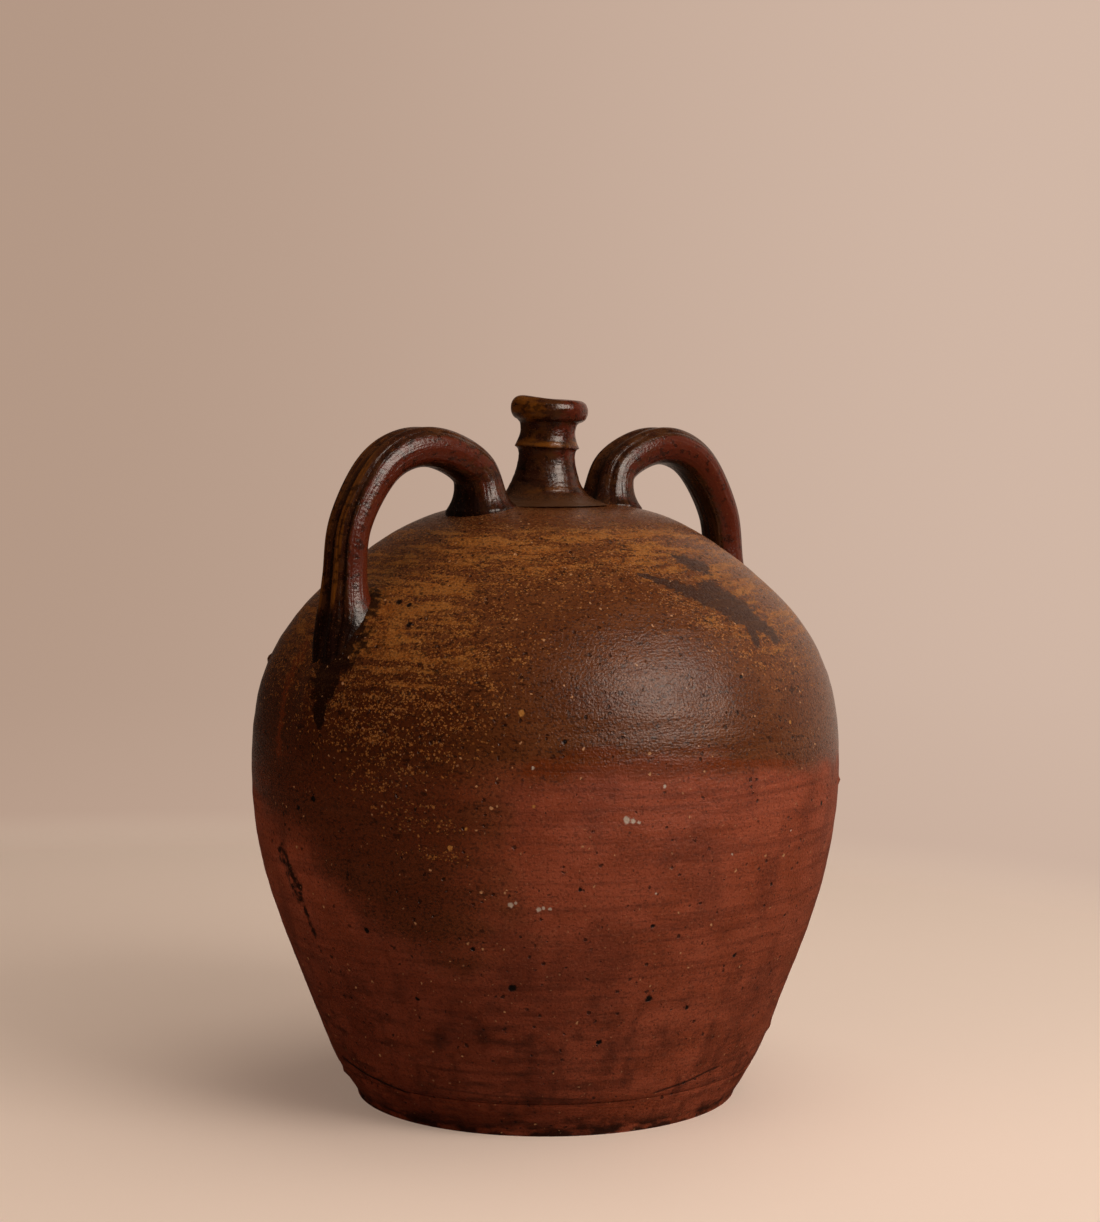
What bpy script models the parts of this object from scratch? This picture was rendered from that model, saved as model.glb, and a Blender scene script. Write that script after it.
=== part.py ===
"""Big-bellied liquor jar of glazed earthenware, built from the pieces that the potter joined.

A shallow dish with a turned-up rim is the floor, and carries a thrown lower wall. A thrown
shoulder is luted onto that wall just above the belly. A narrow thrown neck closes the top, and
two pulled strap handles arch from beside the neck down to the shoulder. The jar stands on the
origin with its handles along X. Lengths are in metres.
"""

import math

import bmesh
import bpy
from mathutils import Vector
from mathutils.geometry import interpolate_bezier

# Body, measured on its outer face
FOOT_RADIUS = 0.118
BELLY_RADIUS = 0.180
BELLY_HEIGHT = 0.205
SHOULDER_HEIGHT = 0.360
WALL = 0.009

# Base dish: floor, turned-up rim that the wall stands on, and the rounded corner inside it
FLOOR_THICKNESS = 0.012
RIM_HEIGHT = 0.021
FOOT_EDGE = 0.002
CORNER_RADIUS = 0.008

# Luted seam between lower wall and shoulder: its outer height, and how far it rises inwards
SEAM_HEIGHT = 0.216
SEAM_RISE = 0.004

# Neck, with heights measured from the top of the shoulder
NECK_HEIGHT = 0.0635
NECK_RADIUS = 0.0173
NECK_FOOT_RADIUS = 0.034
NECK_FOOT_EDGE = 0.0012
COLLAR_HEIGHT = 0.0335
COLLAR_RADIUS = 0.0198
COLLAR_EDGE = 0.0008
COLLAR_UNDERCUT = 0.0022
COLLAR_SLOPE = 0.0048
LIP_RADIUS = 0.0236
LIP_THICKNESS = 0.0138
BORE_RADIUS = 0.011
THROAT_RADIUS = 0.016
NECK_LEAN = math.radians(5.5)
NECK_LEAN_HEADING = math.radians(-40)

# Strap handles
STRAP_WIDTH = 0.030
STRAP_THICKNESS = 0.0244
HANDLE_RISE = 0.033
HANDLE_NECK_CLEARANCE = 0.003
ROOT_DEPTH = 0.032

# Fits
SEAT_GAP = 0.0003
MERGE_DISTANCE = 0.00001

# Facets
BODY_SIDES = 64
NECK_SIDES = 36
OUTLINE_STEPS = 8
LOWER_WALL_STEPS = 10
SHOULDER_STEPS = 11
CORNER_STEPS = 3
FLARE_STEPS = 2
LIP_STEPS = 7
BORE_STEPS = 3
STRAP_STEPS = 4
SHARP_ANGLE = math.radians(35)

# Wall below the belly: share of the belly's height, share of the way from foot to belly radius
LOWER_WALL_SHARES = (
    (0.0, 0.0),
    (0.157, 0.262),
    (0.32, 0.474),
    (0.485, 0.68),
    (0.652, 0.857),
    (0.824, 0.967),
    (1.0, 1.0),
)

# Wall above the belly: share of the rise from belly to shoulder top, share of the belly radius
UPPER_WALL_SHARES = (
    (0.217, 0.986),
    (0.422, 0.929),
    (0.60, 0.825),
    (0.747, 0.688),
    (0.872, 0.537),
    (0.966, 0.369),
    (0.992, 0.185),
    (1.0, 0.0),
)

# Neck flare: share of the collar's height, share of the way from neck to neck foot radius
NECK_FLARE_SHARES = (
    (0.90, 0.0),
    (0.70, 0.05),
    (0.50, 0.15),
    (0.32, 0.29),
    (0.14, 0.50),
    (0.07, 0.72),
)

# Inside of the neck: share of the neck's height, share of the way from bore to lip radius
MOUTH_SHARES = ((0.91, 0.0), (0.965, 0.09), (0.993, 0.30))
THROAT_TOP_SHARE = 0.30

# Handle's root on the shoulder, as a share of the belly radius
HANDLE_SEAT_SHARE = 0.836

# Handle between its roots: share of the reach from neck root to shoulder root, share of the rise
# from shoulder root to crown, and girth as a share of the strap's
HANDLE_ARCH_SHARES = (
    (0.05, 0.86, 1.02),
    (0.30, 0.993, 1.0),
    (0.55, 0.993, 1.0),
    (0.768, 0.862, 0.98),
    (0.948, 0.56, 0.93),
    (0.99, 0.25, 0.95),
)
NECK_ROOT_GIRTH_SHARE = 1.12
SHOULDER_ROOT_GIRTH_SHARE = 1.2

# Half of the strap's section: share of the half width, share of the half thickness. It runs from
# the flat inner face round the edge and over a finger groove to the middle ridge.
STRAP_SECTION_SHARES = (
    (0.0, -0.88),
    (0.38, -0.92),
    (0.64, -0.93),
    (0.87, -0.68),
    (1.0, -0.24),
    (0.985, 0.16),
    (0.90, 0.52),
    (0.72, 0.80),
    (0.40, 0.79),
    (0.0, 1.0),
)

# Glazes and clays: linear colour and roughness
OCHRE_GLAZE = ("ochre_iron_glaze", (0.19, 0.075, 0.022), 0.42)
RED_SLIP = ("brick_red_slip", (0.17, 0.040, 0.020), 0.50)
RAW_FOOT = ("raw_red_foot", (0.10, 0.032, 0.020), 0.70)
NECK_GLAZE = ("dark_neck_glaze", (0.075, 0.022, 0.013), 0.25)
HANDLE_GLAZE = ("dark_handle_glaze", (0.075, 0.022, 0.013), 0.25)


def smooth_curve(points, steps):
    """Points on a smooth curve through the given ones, with so many steps between neighbours."""
    first = 2 * points[0] - points[1]
    last = 2 * points[-1] - points[-2]
    knots = [first, *points, last]
    curve = [points[0]]
    for before, start, end, after in zip(knots, knots[1:], knots[2:], knots[3:]):
        lead = start + (end - before) / 6
        trail = end - (after - start) / 6
        curve += interpolate_bezier(start, lead, trail, end, steps + 1)[1:]
    return curve


def crossing(curve, measures, goal):
    """The last point of the curve at which the measure that goes with its points has the goal."""
    stretches = list(zip(curve, curve[1:], measures, measures[1:]))
    for near, far, start, end in reversed(stretches):
        if start != end and min(start, end) <= goal <= max(start, end):
            return near.lerp(far, (goal - start) / (end - start))
    raise ValueError("the curve doesn't reach that goal")


def at_height(curve, height):
    return crossing(curve, [point.y for point in curve], height)


def at_radius(curve, radius):
    return crossing(curve, [point.x for point in curve], radius)


def spaced(path, steps):
    """Points at even distances along a path, from its start to its end."""
    travelled = [0]
    for near, far in zip(path, path[1:]):
        travelled.append(travelled[-1] + (far - near).length)
    points = []
    for step in range(steps + 1):
        goal = travelled[-1] * step / steps
        index = sum(length < goal for length in travelled[1:-1])
        run = travelled[index + 1] - travelled[index]
        points.append(path[index].lerp(path[index + 1], (goal - travelled[index]) / run))
    return points


def stretch(curve, start, end, steps):
    """Evenly spaced points on a rising curve, between two points that lie on it."""
    inside = [point for point in curve if start.y < point.y < end.y]
    return spaced([start, *inside, end], steps)


def sideways(curve, distance):
    """A rising curve moved outwards by a distance, or inwards by a negative one."""
    moved = []
    for index, point in enumerate(curve):
        along = curve[min(index + 1, len(curve) - 1)] - curve[max(index - 1, 0)]
        moved.append(point + distance * Vector((along.y, -along.x)).normalized())
    return moved


def body_outline():
    """Outer face of the whole body, from the foot to the middle of its top."""
    swell = BELLY_RADIUS - FOOT_RADIUS
    rise = SHOULDER_HEIGHT - BELLY_HEIGHT
    lower = [
        Vector((FOOT_RADIUS + out * swell, up * BELLY_HEIGHT)) for up, out in LOWER_WALL_SHARES
    ]
    upper = [
        Vector((out * BELLY_RADIUS, BELLY_HEIGHT + up * rise)) for up, out in UPPER_WALL_SHARES
    ]
    return smooth_curve(lower + upper, OUTLINE_STEPS)


def glaze(name, colour, roughness):
    """A fired surface of one colour and roughness."""
    material = bpy.data.materials.new(name)
    material.use_nodes = True
    material.diffuse_color = (*colour, 1)
    surface = material.node_tree.nodes["Principled BSDF"]
    surface.inputs["Base Color"].default_value = (*colour, 1)
    surface.inputs["Roughness"].default_value = roughness
    surface.inputs["Metallic"].default_value = 0
    return material


def add_object(name, data, collection):
    obj = bpy.data.objects.new(name, data)
    collection.objects.link(obj)
    return obj


def set_aside(obj):
    """Keep a cutter or a guide in view as wire only."""
    obj.hide_render = True
    obj.display_type = "WIRE"


def shade(mesh):
    """Smooth shading, with edges kept where the surface turns sharply."""
    mesh.shade_smooth()
    mesh.set_sharp_from_angle(angle=SHARP_ANGLE)


def settled_mesh(obj):
    """The object's mesh as its modifiers, or its curve, leave it."""
    bpy.context.view_layer.update()
    graph = bpy.context.evaluated_depsgraph_get()
    return bpy.data.meshes.new_from_object(obj.evaluated_get(graph))


def turned(name, profile, sides, collection, finish=None, closed=True, lean=0):
    """A profile of radius and height, which runs down its outer side, turned about the Z axis.

    A closed profile is a ring that joins up with its start. An open one has both ends on the axis.
    """
    points = [(point.x, 0, point.y) for point in profile]
    edges = [(index, index + 1) for index in range(len(points) - 1)]
    if closed:
        edges.append((len(points) - 1, 0))
    mesh = bpy.data.meshes.new(name)
    mesh.from_pydata(points, edges, [])
    obj = add_object(name, mesh, collection)
    turning = obj.modifiers.new("turning", "SCREW")
    turning.axis = "Z"
    turning.steps = sides
    turning.render_steps = sides
    turning.use_merge_vertices = True
    turning.merge_threshold = MERGE_DISTANCE
    if lean:
        leaning = obj.modifiers.new("leaning", "SIMPLE_DEFORM")
        leaning.deform_method = "BEND"
        leaning.deform_axis = "Y"
        leaning.angle = lean
    obj.data = settled_mesh(obj)
    obj.modifiers.clear()
    bpy.data.meshes.remove(mesh)
    shade(obj.data)
    if finish:
        obj.data.materials.append(glaze(*finish))
    return obj


def add_base(outline, lining, collection):
    """Beaten dish: a flat floor with its rim turned up to take the wall."""
    rim = at_height(outline, RIM_HEIGHT)
    edge = at_height(outline, FOOT_EDGE)
    inner_rim = at_height(lining, RIM_HEIGHT)
    centre = Vector((inner_rim.x - CORNER_RADIUS, FLOOR_THICKNESS + CORNER_RADIUS))
    corner = []
    for step in range(CORNER_STEPS + 1):
        turn = math.pi / 2 * (step / CORNER_STEPS - 1)
        corner.append(centre + CORNER_RADIUS * Vector((math.cos(turn), math.sin(turn))))
    foot = Vector((FOOT_RADIUS - FOOT_EDGE, 0))
    middle = [Vector((0, FLOOR_THICKNESS)), Vector((0, 0))]
    profile = [middle[0], *corner, inner_rim, rim, edge, foot, middle[1]]
    return turned("base", profile, BODY_SIDES, collection, RAW_FOOT, closed=False)


def add_lower_wall(outline, lining, collection):
    """Thrown wall on the base's rim, with its own rim bevelled to take the shoulder."""
    foot = at_height(outline, RIM_HEIGHT + SEAT_GAP)
    inner_foot = at_height(lining, RIM_HEIGHT + SEAT_GAP)
    rim = at_height(outline, SEAM_HEIGHT)
    inner_rim = at_height(lining, SEAM_HEIGHT + SEAM_RISE)
    outer = stretch(outline, foot, rim, LOWER_WALL_STEPS)
    inner = stretch(lining, inner_foot, inner_rim, LOWER_WALL_STEPS)
    return turned("lower_wall", outer[::-1] + inner, BODY_SIDES, collection, RED_SLIP)


def add_shoulder(outer, lining, collection):
    """Thrown upper section, seated on the bevelled rim and open at the throat."""
    inner_rim = at_height(lining, SEAM_HEIGHT + SEAM_RISE + SEAT_GAP)
    throat = at_radius(lining, THROAT_RADIUS)
    inner = stretch(lining, inner_rim, throat, SHOULDER_STEPS - 1)
    return turned("shoulder", outer[::-1] + inner, BODY_SIDES, collection, OCHRE_GLAZE)


def add_neck(shoulder_face, collection):
    """Thrown neck with a collar ring and a rolled lip, leaning a little to one side."""
    seat = sideways(shoulder_face, SEAT_GAP)
    foot = at_radius(seat, NECK_FOOT_RADIUS)
    under = [foot, *(point for point in seat if point.x < foot.x)]
    underside = [point - Vector((0, SHOULDER_HEIGHT)) for point in under]

    roll = LIP_THICKNESS / 2
    centre = Vector((LIP_RADIUS - roll, NECK_HEIGHT - roll))
    lip = []
    for step in range(LIP_STEPS + 1):
        turn = math.pi * (1 / 2 - step / LIP_STEPS)
        lip.append(centre + roll * Vector((math.cos(turn), math.sin(turn))))

    collar = [
        Vector((NECK_RADIUS, COLLAR_HEIGHT + COLLAR_SLOPE)),
        Vector((COLLAR_RADIUS, COLLAR_HEIGHT + COLLAR_EDGE / 2)),
        Vector((COLLAR_RADIUS, COLLAR_HEIGHT - COLLAR_EDGE / 2)),
        Vector((NECK_RADIUS, COLLAR_HEIGHT - COLLAR_UNDERCUT)),
    ]
    spread = NECK_FOOT_RADIUS - NECK_RADIUS
    stations = [
        Vector((NECK_RADIUS + out * spread, up * COLLAR_HEIGHT)) for up, out in NECK_FLARE_SHARES
    ]
    flare = smooth_curve([*stations, underside[0] + Vector((0, NECK_FOOT_EDGE))], FLARE_STEPS)

    throat_top = Vector((BORE_RADIUS, THROAT_TOP_SHARE * NECK_HEIGHT))
    opening = [
        Vector((BORE_RADIUS + out * (LIP_RADIUS - BORE_RADIUS), up * NECK_HEIGHT))
        for up, out in MOUTH_SHARES
    ]
    bore = spaced([throat_top, opening[0]], BORE_STEPS)
    profile = lip + collar + flare + underside + bore + opening[1:]
    neck = turned("neck", profile, NECK_SIDES, collection, NECK_GLAZE, lean=NECK_LEAN)
    neck.location.z = SHOULDER_HEIGHT
    neck.rotation_euler.z = NECK_LEAN_HEADING
    return neck


def add_strap_section(collection):
    """Closed outline of the strap, flat inside and finger-grooved outside, with its inside at +X."""
    half = [
        Vector((-out * STRAP_THICKNESS / 2, across * STRAP_WIDTH / 2))
        for across, out in STRAP_SECTION_SHARES
    ]
    mirrored = [Vector((point.x, -point.y)) for point in half[-2:0:-1]]
    outline = half + mirrored
    curve = bpy.data.curves.new("strap_section", "CURVE")
    spline = curve.splines.new("POLY")
    spline.points.add(len(outline) - 1)
    for knot, point in zip(spline.points, outline):
        knot.co = (point.x, point.y, 0, 1)
    spline.use_cyclic_u = True
    section = add_object("strap_section", curve, collection)
    set_aside(section)
    return section


def handle_knots(shoulder_face):
    """Middle line of a handle and its girth, with both ends run on inside the shoulder."""
    root_half = NECK_ROOT_GIRTH_SHARE * STRAP_THICKNESS / 2
    neck_side = NECK_FOOT_RADIUS + HANDLE_NECK_CLEARANCE + root_half
    neck_root = at_radius(shoulder_face, neck_side)
    seat = at_radius(shoulder_face, HANDLE_SEAT_SHARE * BELLY_RADIUS)
    reach = seat.x - neck_root.x
    rise = SHOULDER_HEIGHT + HANDLE_RISE - seat.y
    buried = Vector((0, -ROOT_DEPTH))
    knots = [(neck_root + buried, NECK_ROOT_GIRTH_SHARE), (neck_root, NECK_ROOT_GIRTH_SHARE)]
    for out, up, girth in HANDLE_ARCH_SHARES:
        knots.append((Vector((neck_root.x + out * reach, seat.y + up * rise)), girth))
    knots.append((seat, SHOULDER_ROOT_GIRTH_SHARE))
    knots.append((seat + buried, SHOULDER_ROOT_GIRTH_SHARE))
    return knots


def add_handle_mesh(shoulder_face, cutters):
    """Strap swept along its middle line, as a closed mesh that still runs on into the shoulder."""
    curve = bpy.data.curves.new("handle_path", "CURVE")
    curve.dimensions = "3D"
    curve.twist_mode = "MINIMUM"
    curve.resolution_u = STRAP_STEPS
    curve.bevel_mode = "OBJECT"
    curve.bevel_object = add_strap_section(cutters)
    curve.use_fill_caps = True
    knots = handle_knots(shoulder_face)
    spline = curve.splines.new("BEZIER")
    spline.bezier_points.add(len(knots) - 1)
    for bend, (point, girth) in zip(spline.bezier_points, knots):
        bend.co = (point.x, 0, point.y)
        bend.handle_left_type = "AUTO"
        bend.handle_right_type = "AUTO"
        bend.radius = girth
    path = add_object("handle_path", curve, cutters)
    mesh = settled_mesh(path)
    bpy.data.objects.remove(path)
    shape = bmesh.new()
    shape.from_mesh(mesh)
    bmesh.ops.remove_doubles(shape, verts=shape.verts, dist=MERGE_DISTANCE)
    bmesh.ops.recalc_face_normals(shape, faces=shape.faces)
    shape.to_mesh(mesh)
    shape.free()
    shade(mesh)
    mesh.materials.append(glaze(*HANDLE_GLAZE))
    return mesh


def add_handles(shoulder_face, collection, cutters):
    """Two handles from one mesh, opposite each other and cut to seat on the shoulder."""
    face = sideways(shoulder_face, SEAT_GAP)
    profile = [Vector((0, face[-1].y)), *face[::-1], Vector((0, face[0].y))]
    seat_cutter = turned("seat_cutter", profile, BODY_SIDES, cutters, closed=False)
    set_aside(seat_cutter)
    mesh = add_handle_mesh(shoulder_face, cutters)
    handles = []
    for name, heading in (("handle_right", 0), ("handle_left", math.pi)):
        handle = add_object(name, mesh, collection)
        handle.rotation_euler.z = heading
        seating = handle.modifiers.new("seating", "BOOLEAN")
        seating.operation = "DIFFERENCE"
        seating.object = seat_cutter
        handles.append(handle)
    return handles


def new_collection(name):
    collection = bpy.data.collections.new(name)
    bpy.context.scene.collection.children.link(collection)
    return collection


def build_jar():
    for obj in list(bpy.data.objects):
        bpy.data.objects.remove(obj)
    jar = new_collection("liquor_jar")
    cutters = new_collection("cutters")
    cutters.hide_render = True

    outline = body_outline()
    lining = sideways(outline, -WALL)
    seam = at_height(outline, SEAM_HEIGHT + SEAT_GAP)
    throat = at_radius(outline, THROAT_RADIUS)
    shoulder_face = stretch(outline, seam, throat, SHOULDER_STEPS)

    pieces = [
        add_base(outline, lining, jar),
        add_lower_wall(outline, lining, jar),
        add_shoulder(shoulder_face, lining, jar),
        add_neck(shoulder_face, jar),
        *add_handles(shoulder_face, jar, cutters),
    ]
    stand = bpy.data.objects.new("jar", None)
    jar.objects.link(stand)
    for piece in pieces:
        piece.parent = stand


build_jar()
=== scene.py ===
# %% [markdown]
# # A glazed liquor jar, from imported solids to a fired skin
#
# The real thing is a big-bellied earthenware jar for liquor. A potter threw it in two halves,
# luted them together just above the belly, set a narrow neck on top, pulled two strap handles,
# and poured glaze over it all. The six solids of that jar come packed from CAD with plain
# surfaces. This lesson gives them what hands, clay and fire leave behind: a wall that isn't quite
# round, finger rings, a speckled ochre shoulder, brick-red slip, runs, pits and scars.
#
# Everything is in metres and stands where the CAD says. Places on the jar are given as a potter
# would point at them: degrees round from the front, and millimetres up from the foot.

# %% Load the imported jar
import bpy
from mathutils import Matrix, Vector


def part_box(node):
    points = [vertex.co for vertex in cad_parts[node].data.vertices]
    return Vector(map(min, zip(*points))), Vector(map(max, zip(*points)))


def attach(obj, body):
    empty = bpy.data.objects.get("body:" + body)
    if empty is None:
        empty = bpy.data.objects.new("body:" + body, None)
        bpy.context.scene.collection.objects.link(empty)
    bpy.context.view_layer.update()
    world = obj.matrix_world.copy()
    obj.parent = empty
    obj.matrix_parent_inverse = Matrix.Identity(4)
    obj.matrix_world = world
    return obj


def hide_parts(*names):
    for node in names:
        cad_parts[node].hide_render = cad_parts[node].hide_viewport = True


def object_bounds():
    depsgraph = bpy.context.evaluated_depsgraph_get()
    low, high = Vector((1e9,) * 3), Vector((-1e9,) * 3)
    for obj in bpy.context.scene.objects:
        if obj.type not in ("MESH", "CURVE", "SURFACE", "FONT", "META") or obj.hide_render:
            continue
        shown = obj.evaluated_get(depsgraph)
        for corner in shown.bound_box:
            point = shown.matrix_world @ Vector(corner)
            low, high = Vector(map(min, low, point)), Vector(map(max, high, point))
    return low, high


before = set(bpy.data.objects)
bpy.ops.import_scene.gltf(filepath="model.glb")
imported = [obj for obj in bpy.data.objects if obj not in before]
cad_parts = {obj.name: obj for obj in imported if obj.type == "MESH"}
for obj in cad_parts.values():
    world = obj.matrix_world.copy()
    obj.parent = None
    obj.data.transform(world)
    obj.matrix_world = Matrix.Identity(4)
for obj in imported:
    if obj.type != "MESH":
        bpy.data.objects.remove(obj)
cad_low, cad_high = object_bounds()
print("nodes:", sorted(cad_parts))

# %% Modules and units
import math
from types import SimpleNamespace

import bmesh
import bpy
import numpy as np
from mathutils import Matrix, Vector, noise
from mathutils.geometry import interpolate_bezier

MM = 0.001
cad_size = [round((high - low) / MM, 1) for low, high in zip(cad_low, cad_high)]
print("the CAD jar measures, in mm:", cad_size)

# %% [markdown]
# ## The camera
#
# The camera comes first, because every later choice is judged through it. The photograph was
# taken from a little above the middle of the jar with a long lens, which keeps the belly's
# outline calm. A long lens could be imitated with an orthographic camera, but then the foot's
# ellipse would be wrong. So the real distance is used, worked out from that ellipse, and the
# camera is tipped down by a few degrees, as it was. "Front" is the side that faces the camera.

# %% Camera
FRONT = math.radians(-130)
CAMERA_DISTANCE = 1.52
CAMERA_HEIGHT = 0.402
CAMERA_ASIDE = 0.0027
CAMERA_PITCH = math.radians(4.08)
CAMERA_LENS = 73.5
SENSOR = 36

to_camera = Vector((math.cos(FRONT), math.sin(FRONT), 0))
to_right = Vector((-math.sin(FRONT), math.cos(FRONT), 0))
up = Vector((0, 0, 1))
look = -to_camera * math.cos(CAMERA_PITCH) - up * math.sin(CAMERA_PITCH)

camera_data = bpy.data.cameras.new("camera")
camera_data.sensor_fit = "VERTICAL"
camera_data.sensor_height = SENSOR
camera_data.lens = CAMERA_LENS
camera = bpy.data.objects.new("camera", camera_data)
bpy.context.scene.collection.objects.link(camera)
camera.location = to_camera * CAMERA_DISTANCE + to_right * CAMERA_ASIDE + up * CAMERA_HEIGHT
camera.rotation_euler = look.to_track_quat("-Z", "Y").to_euler()
bpy.context.scene.camera = camera
print("the camera stands", round(CAMERA_DISTANCE, 2), "m from the jar's axis")

# %% [markdown]
# ## The outline that the clay follows
#
# A thrown wall is a turned shape, so one outline of radius against height describes it. It could
# be typed in again, but the CAD solids already hold it: their corners lie on it, ring by ring.
# The body bulges everywhere, so the outer corners are simply the convex ones. A smooth curve
# through them gives back the wall between the facets.

# %% Read the outline from the solids
RING_SPACING = 4 * MM
CURVE_STEPS = 16


def outer_corners(*names):
    """(radius, height) of the convex outer corners of turned solids, from the foot up."""
    found = set()
    for name in names:
        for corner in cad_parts[name].data.vertices:
            found.add((round(corner.co.z, 6), round(math.hypot(corner.co.x, corner.co.y), 6)))
    hull = []
    for height, radius in sorted(found):
        while len(hull) > 1:
            (low, inner), (high, outer) = hull[-2:]
            if (high - low) * (radius - inner) < (outer - inner) * (height - low):
                break
            hull.pop()
        hull.append((height, radius))
    return [Vector((radius, height)) for height, radius in hull if radius > 0]


def thinned(points, spacing):
    """The points without those that lie closer than the spacing to the one before."""
    kept = [points[0]]
    for point in points[1:]:
        if (point - kept[-1]).length > spacing:
            kept.append(point)
    return kept


def smooth_curve(points, steps):
    """Points on a smooth curve through the given ones, with so many steps between neighbours."""
    first = 2 * points[0] - points[1]
    last = 2 * points[-1] - points[-2]
    knots = [first, *points, last]
    curve = [points[0]]
    for before, start, end, after in zip(knots, knots[1:], knots[2:], knots[3:]):
        lead = start + (end - before) / 6
        trail = end - (after - start) / 6
        curve += interpolate_bezier(start, lead, trail, end, steps + 1)[1:]
    return curve


corners = thinned(outer_corners("base", "lower_wall", "shoulder"), RING_SPACING)
outline = smooth_curve(corners, CURVE_STEPS)
outline_radii = np.array([point.x for point in outline])
outline_heights = np.array([point.y for point in outline])
print("the outline runs through", len(corners), "rings, from", corners[0], "to", corners[-1])

# %% [markdown]
# ## Places on the skin
#
# A potter says "a hand's breadth above the foot, a little to the left". The same can be said in
# numbers: degrees round from the front, and height above the foot. Distances between places are
# measured with a tape along the wall, because near the top the wall lies almost flat and heights
# say little. Everything below, from dents to drips of glaze, is placed this way.

# %% Tape measure and places
steps = np.hypot(np.diff(outline_radii), np.diff(outline_heights))
outline_runs = np.concatenate([[0], np.cumsum(steps)])
print("the tape reads", round(outline_runs[-1] / MM), "mm from foot to throat")


def run_at(height):
    """Tape length in mm up to a height in mm."""
    return np.interp(height, outline_heights / MM, outline_runs / MM)


belly = int(outline_radii.argmax())
upper_radii = outline_radii[:belly - 1:-1]
upper_heights = outline_heights[:belly - 1:-1]


def shoulder_height(radius):
    """Height of the shoulder's face at a distance from the axis."""
    return np.interp(radius, upper_radii, upper_heights)


def places(mesh):
    """Point, azimuth in degrees, height, run and radius in mm of every vertex of a turned mesh."""
    flat = np.empty(3 * len(mesh.vertices))
    mesh.vertices.foreach_get("co", flat)
    points = flat.reshape(-1, 3) / MM
    azimuth = np.degrees(np.arctan2(points @ np.array(to_right), points @ np.array(to_camera)))
    radius = np.hypot(points[:, 0], points[:, 1])
    height = points[:, 2]
    run = run_at(height)
    return SimpleNamespace(points=points, azimuth=azimuth, height=height, run=run, radius=radius)


def beside(skin, azimuth, height):
    """How far each vertex lies to the right of a place and above it, in mm along the wall."""
    turn = (skin.azimuth - azimuth + 180) % 360 - 180
    return np.radians(turn) * skin.radius, skin.run - run_at(height)


def patch(skin, azimuth, height, width, tall, tilt=0, edge=2):
    """A soft spot: 1 in its middle, and fading out at so many mm sideways and upwards."""
    across, along = beside(skin, azimuth, height)
    turn = math.radians(tilt)
    level = across * math.cos(turn) + along * math.sin(turn)
    rising = along * math.cos(turn) - across * math.sin(turn)
    return np.exp(-(np.hypot(level / width, rising / tall) ** edge))


def patches(skin, table):
    """Soft spots added up, each as azimuth, height, half width and half length in mm, and share."""
    return sum(share * patch(skin, *spot) for *spot, share in table)


def clouds(points, size, seed=0):
    """Smooth noise from -1 to 1 whose clouds have a size in mm, one for each direction."""
    spread = points / np.array(size) + seed
    return np.array([noise.noise(Vector(point)) for point in spread])


# %% [markdown]
# ## Turning a wall
#
# A closed outline, outside and inside, swept round the axis makes a solid wall. The Screw modifier
# does that in one go, as a potter's wheel does. It needs enough columns that no flat facets show on
# the belly: 560 of them are 2 mm wide there. The wheel's work is then settled into a plain mesh, so
# that hand marks can be pressed into it.

# %% Turn and settle
TURN_STEPS = 560
MERGE_DISTANCE = 0.01 * MM
SHARP_ANGLE = math.radians(40)


def settled(obj):
    """The object's mesh as its modifiers leave it."""
    bpy.context.view_layer.update()
    graph = bpy.context.evaluated_depsgraph_get()
    return bpy.data.meshes.new_from_object(obj.evaluated_get(graph))


def face_outwards(mesh):
    """Turn every face of a mesh outwards."""
    skin = bmesh.new()
    skin.from_mesh(mesh)
    bmesh.ops.recalc_face_normals(skin, faces=skin.faces)
    skin.to_mesh(mesh)
    skin.free()


def add_piece(name, mesh):
    """A piece of the jar, smooth except where its surface turns sharply."""
    mesh.shade_smooth()
    mesh.set_sharp_from_angle(angle=SHARP_ANGLE)
    piece = bpy.data.objects.new(name, mesh)
    bpy.context.scene.collection.objects.link(piece)
    return piece


def turned(name, profile, closed=True, columns=TURN_STEPS, lean=0):
    """A profile of radius and height swept round the Z axis, and leaned over by an angle."""
    rows = [(point.x, 0, point.y) for point in profile]
    edges = [(index, index + 1) for index in range(len(rows) - 1)]
    if closed:
        edges.append((len(rows) - 1, 0))
    mesh = bpy.data.meshes.new(name)
    mesh.from_pydata(rows, edges, [])
    wheel = bpy.data.objects.new(name + "_wheel", mesh)
    bpy.context.scene.collection.objects.link(wheel)
    turning = wheel.modifiers.new("turning", "SCREW")
    turning.axis = "Z"
    turning.steps = columns
    turning.render_steps = columns
    turning.use_merge_vertices = True
    turning.merge_threshold = MERGE_DISTANCE
    if lean:
        leaning = wheel.modifiers.new("leaning", "SIMPLE_DEFORM")
        leaning.deform_method = "BEND"
        leaning.deform_axis = "Y"
        leaning.angle = lean
    solid = settled(wheel)
    bpy.data.objects.remove(wheel)
    bpy.data.meshes.remove(mesh)
    solid.name = name
    face_outwards(solid)
    return solid


column_width = 2 * math.pi * outline_radii.max() / TURN_STEPS
print("columns are", round(column_width / MM, 2), "mm wide at the belly")

# %% Stretches of a profile
SKIN_SPACING = 2 * MM
LINING_SPACING = 12 * MM
WALL = 9 * MM


def spaced(path, gap):
    """Points at even distances along a path, about so far apart."""
    lengths = [0]
    for near, far in zip(path, path[1:]):
        lengths.append(lengths[-1] + (far - near).length)
    count = max(2, round(lengths[-1] / gap) + 1)
    goals = np.linspace(0, lengths[-1], count)
    radii = np.interp(goals, lengths, [point.x for point in path])
    heights = np.interp(goals, lengths, [point.y for point in path])
    return [Vector(point) for point in zip(radii, heights)]


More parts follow.
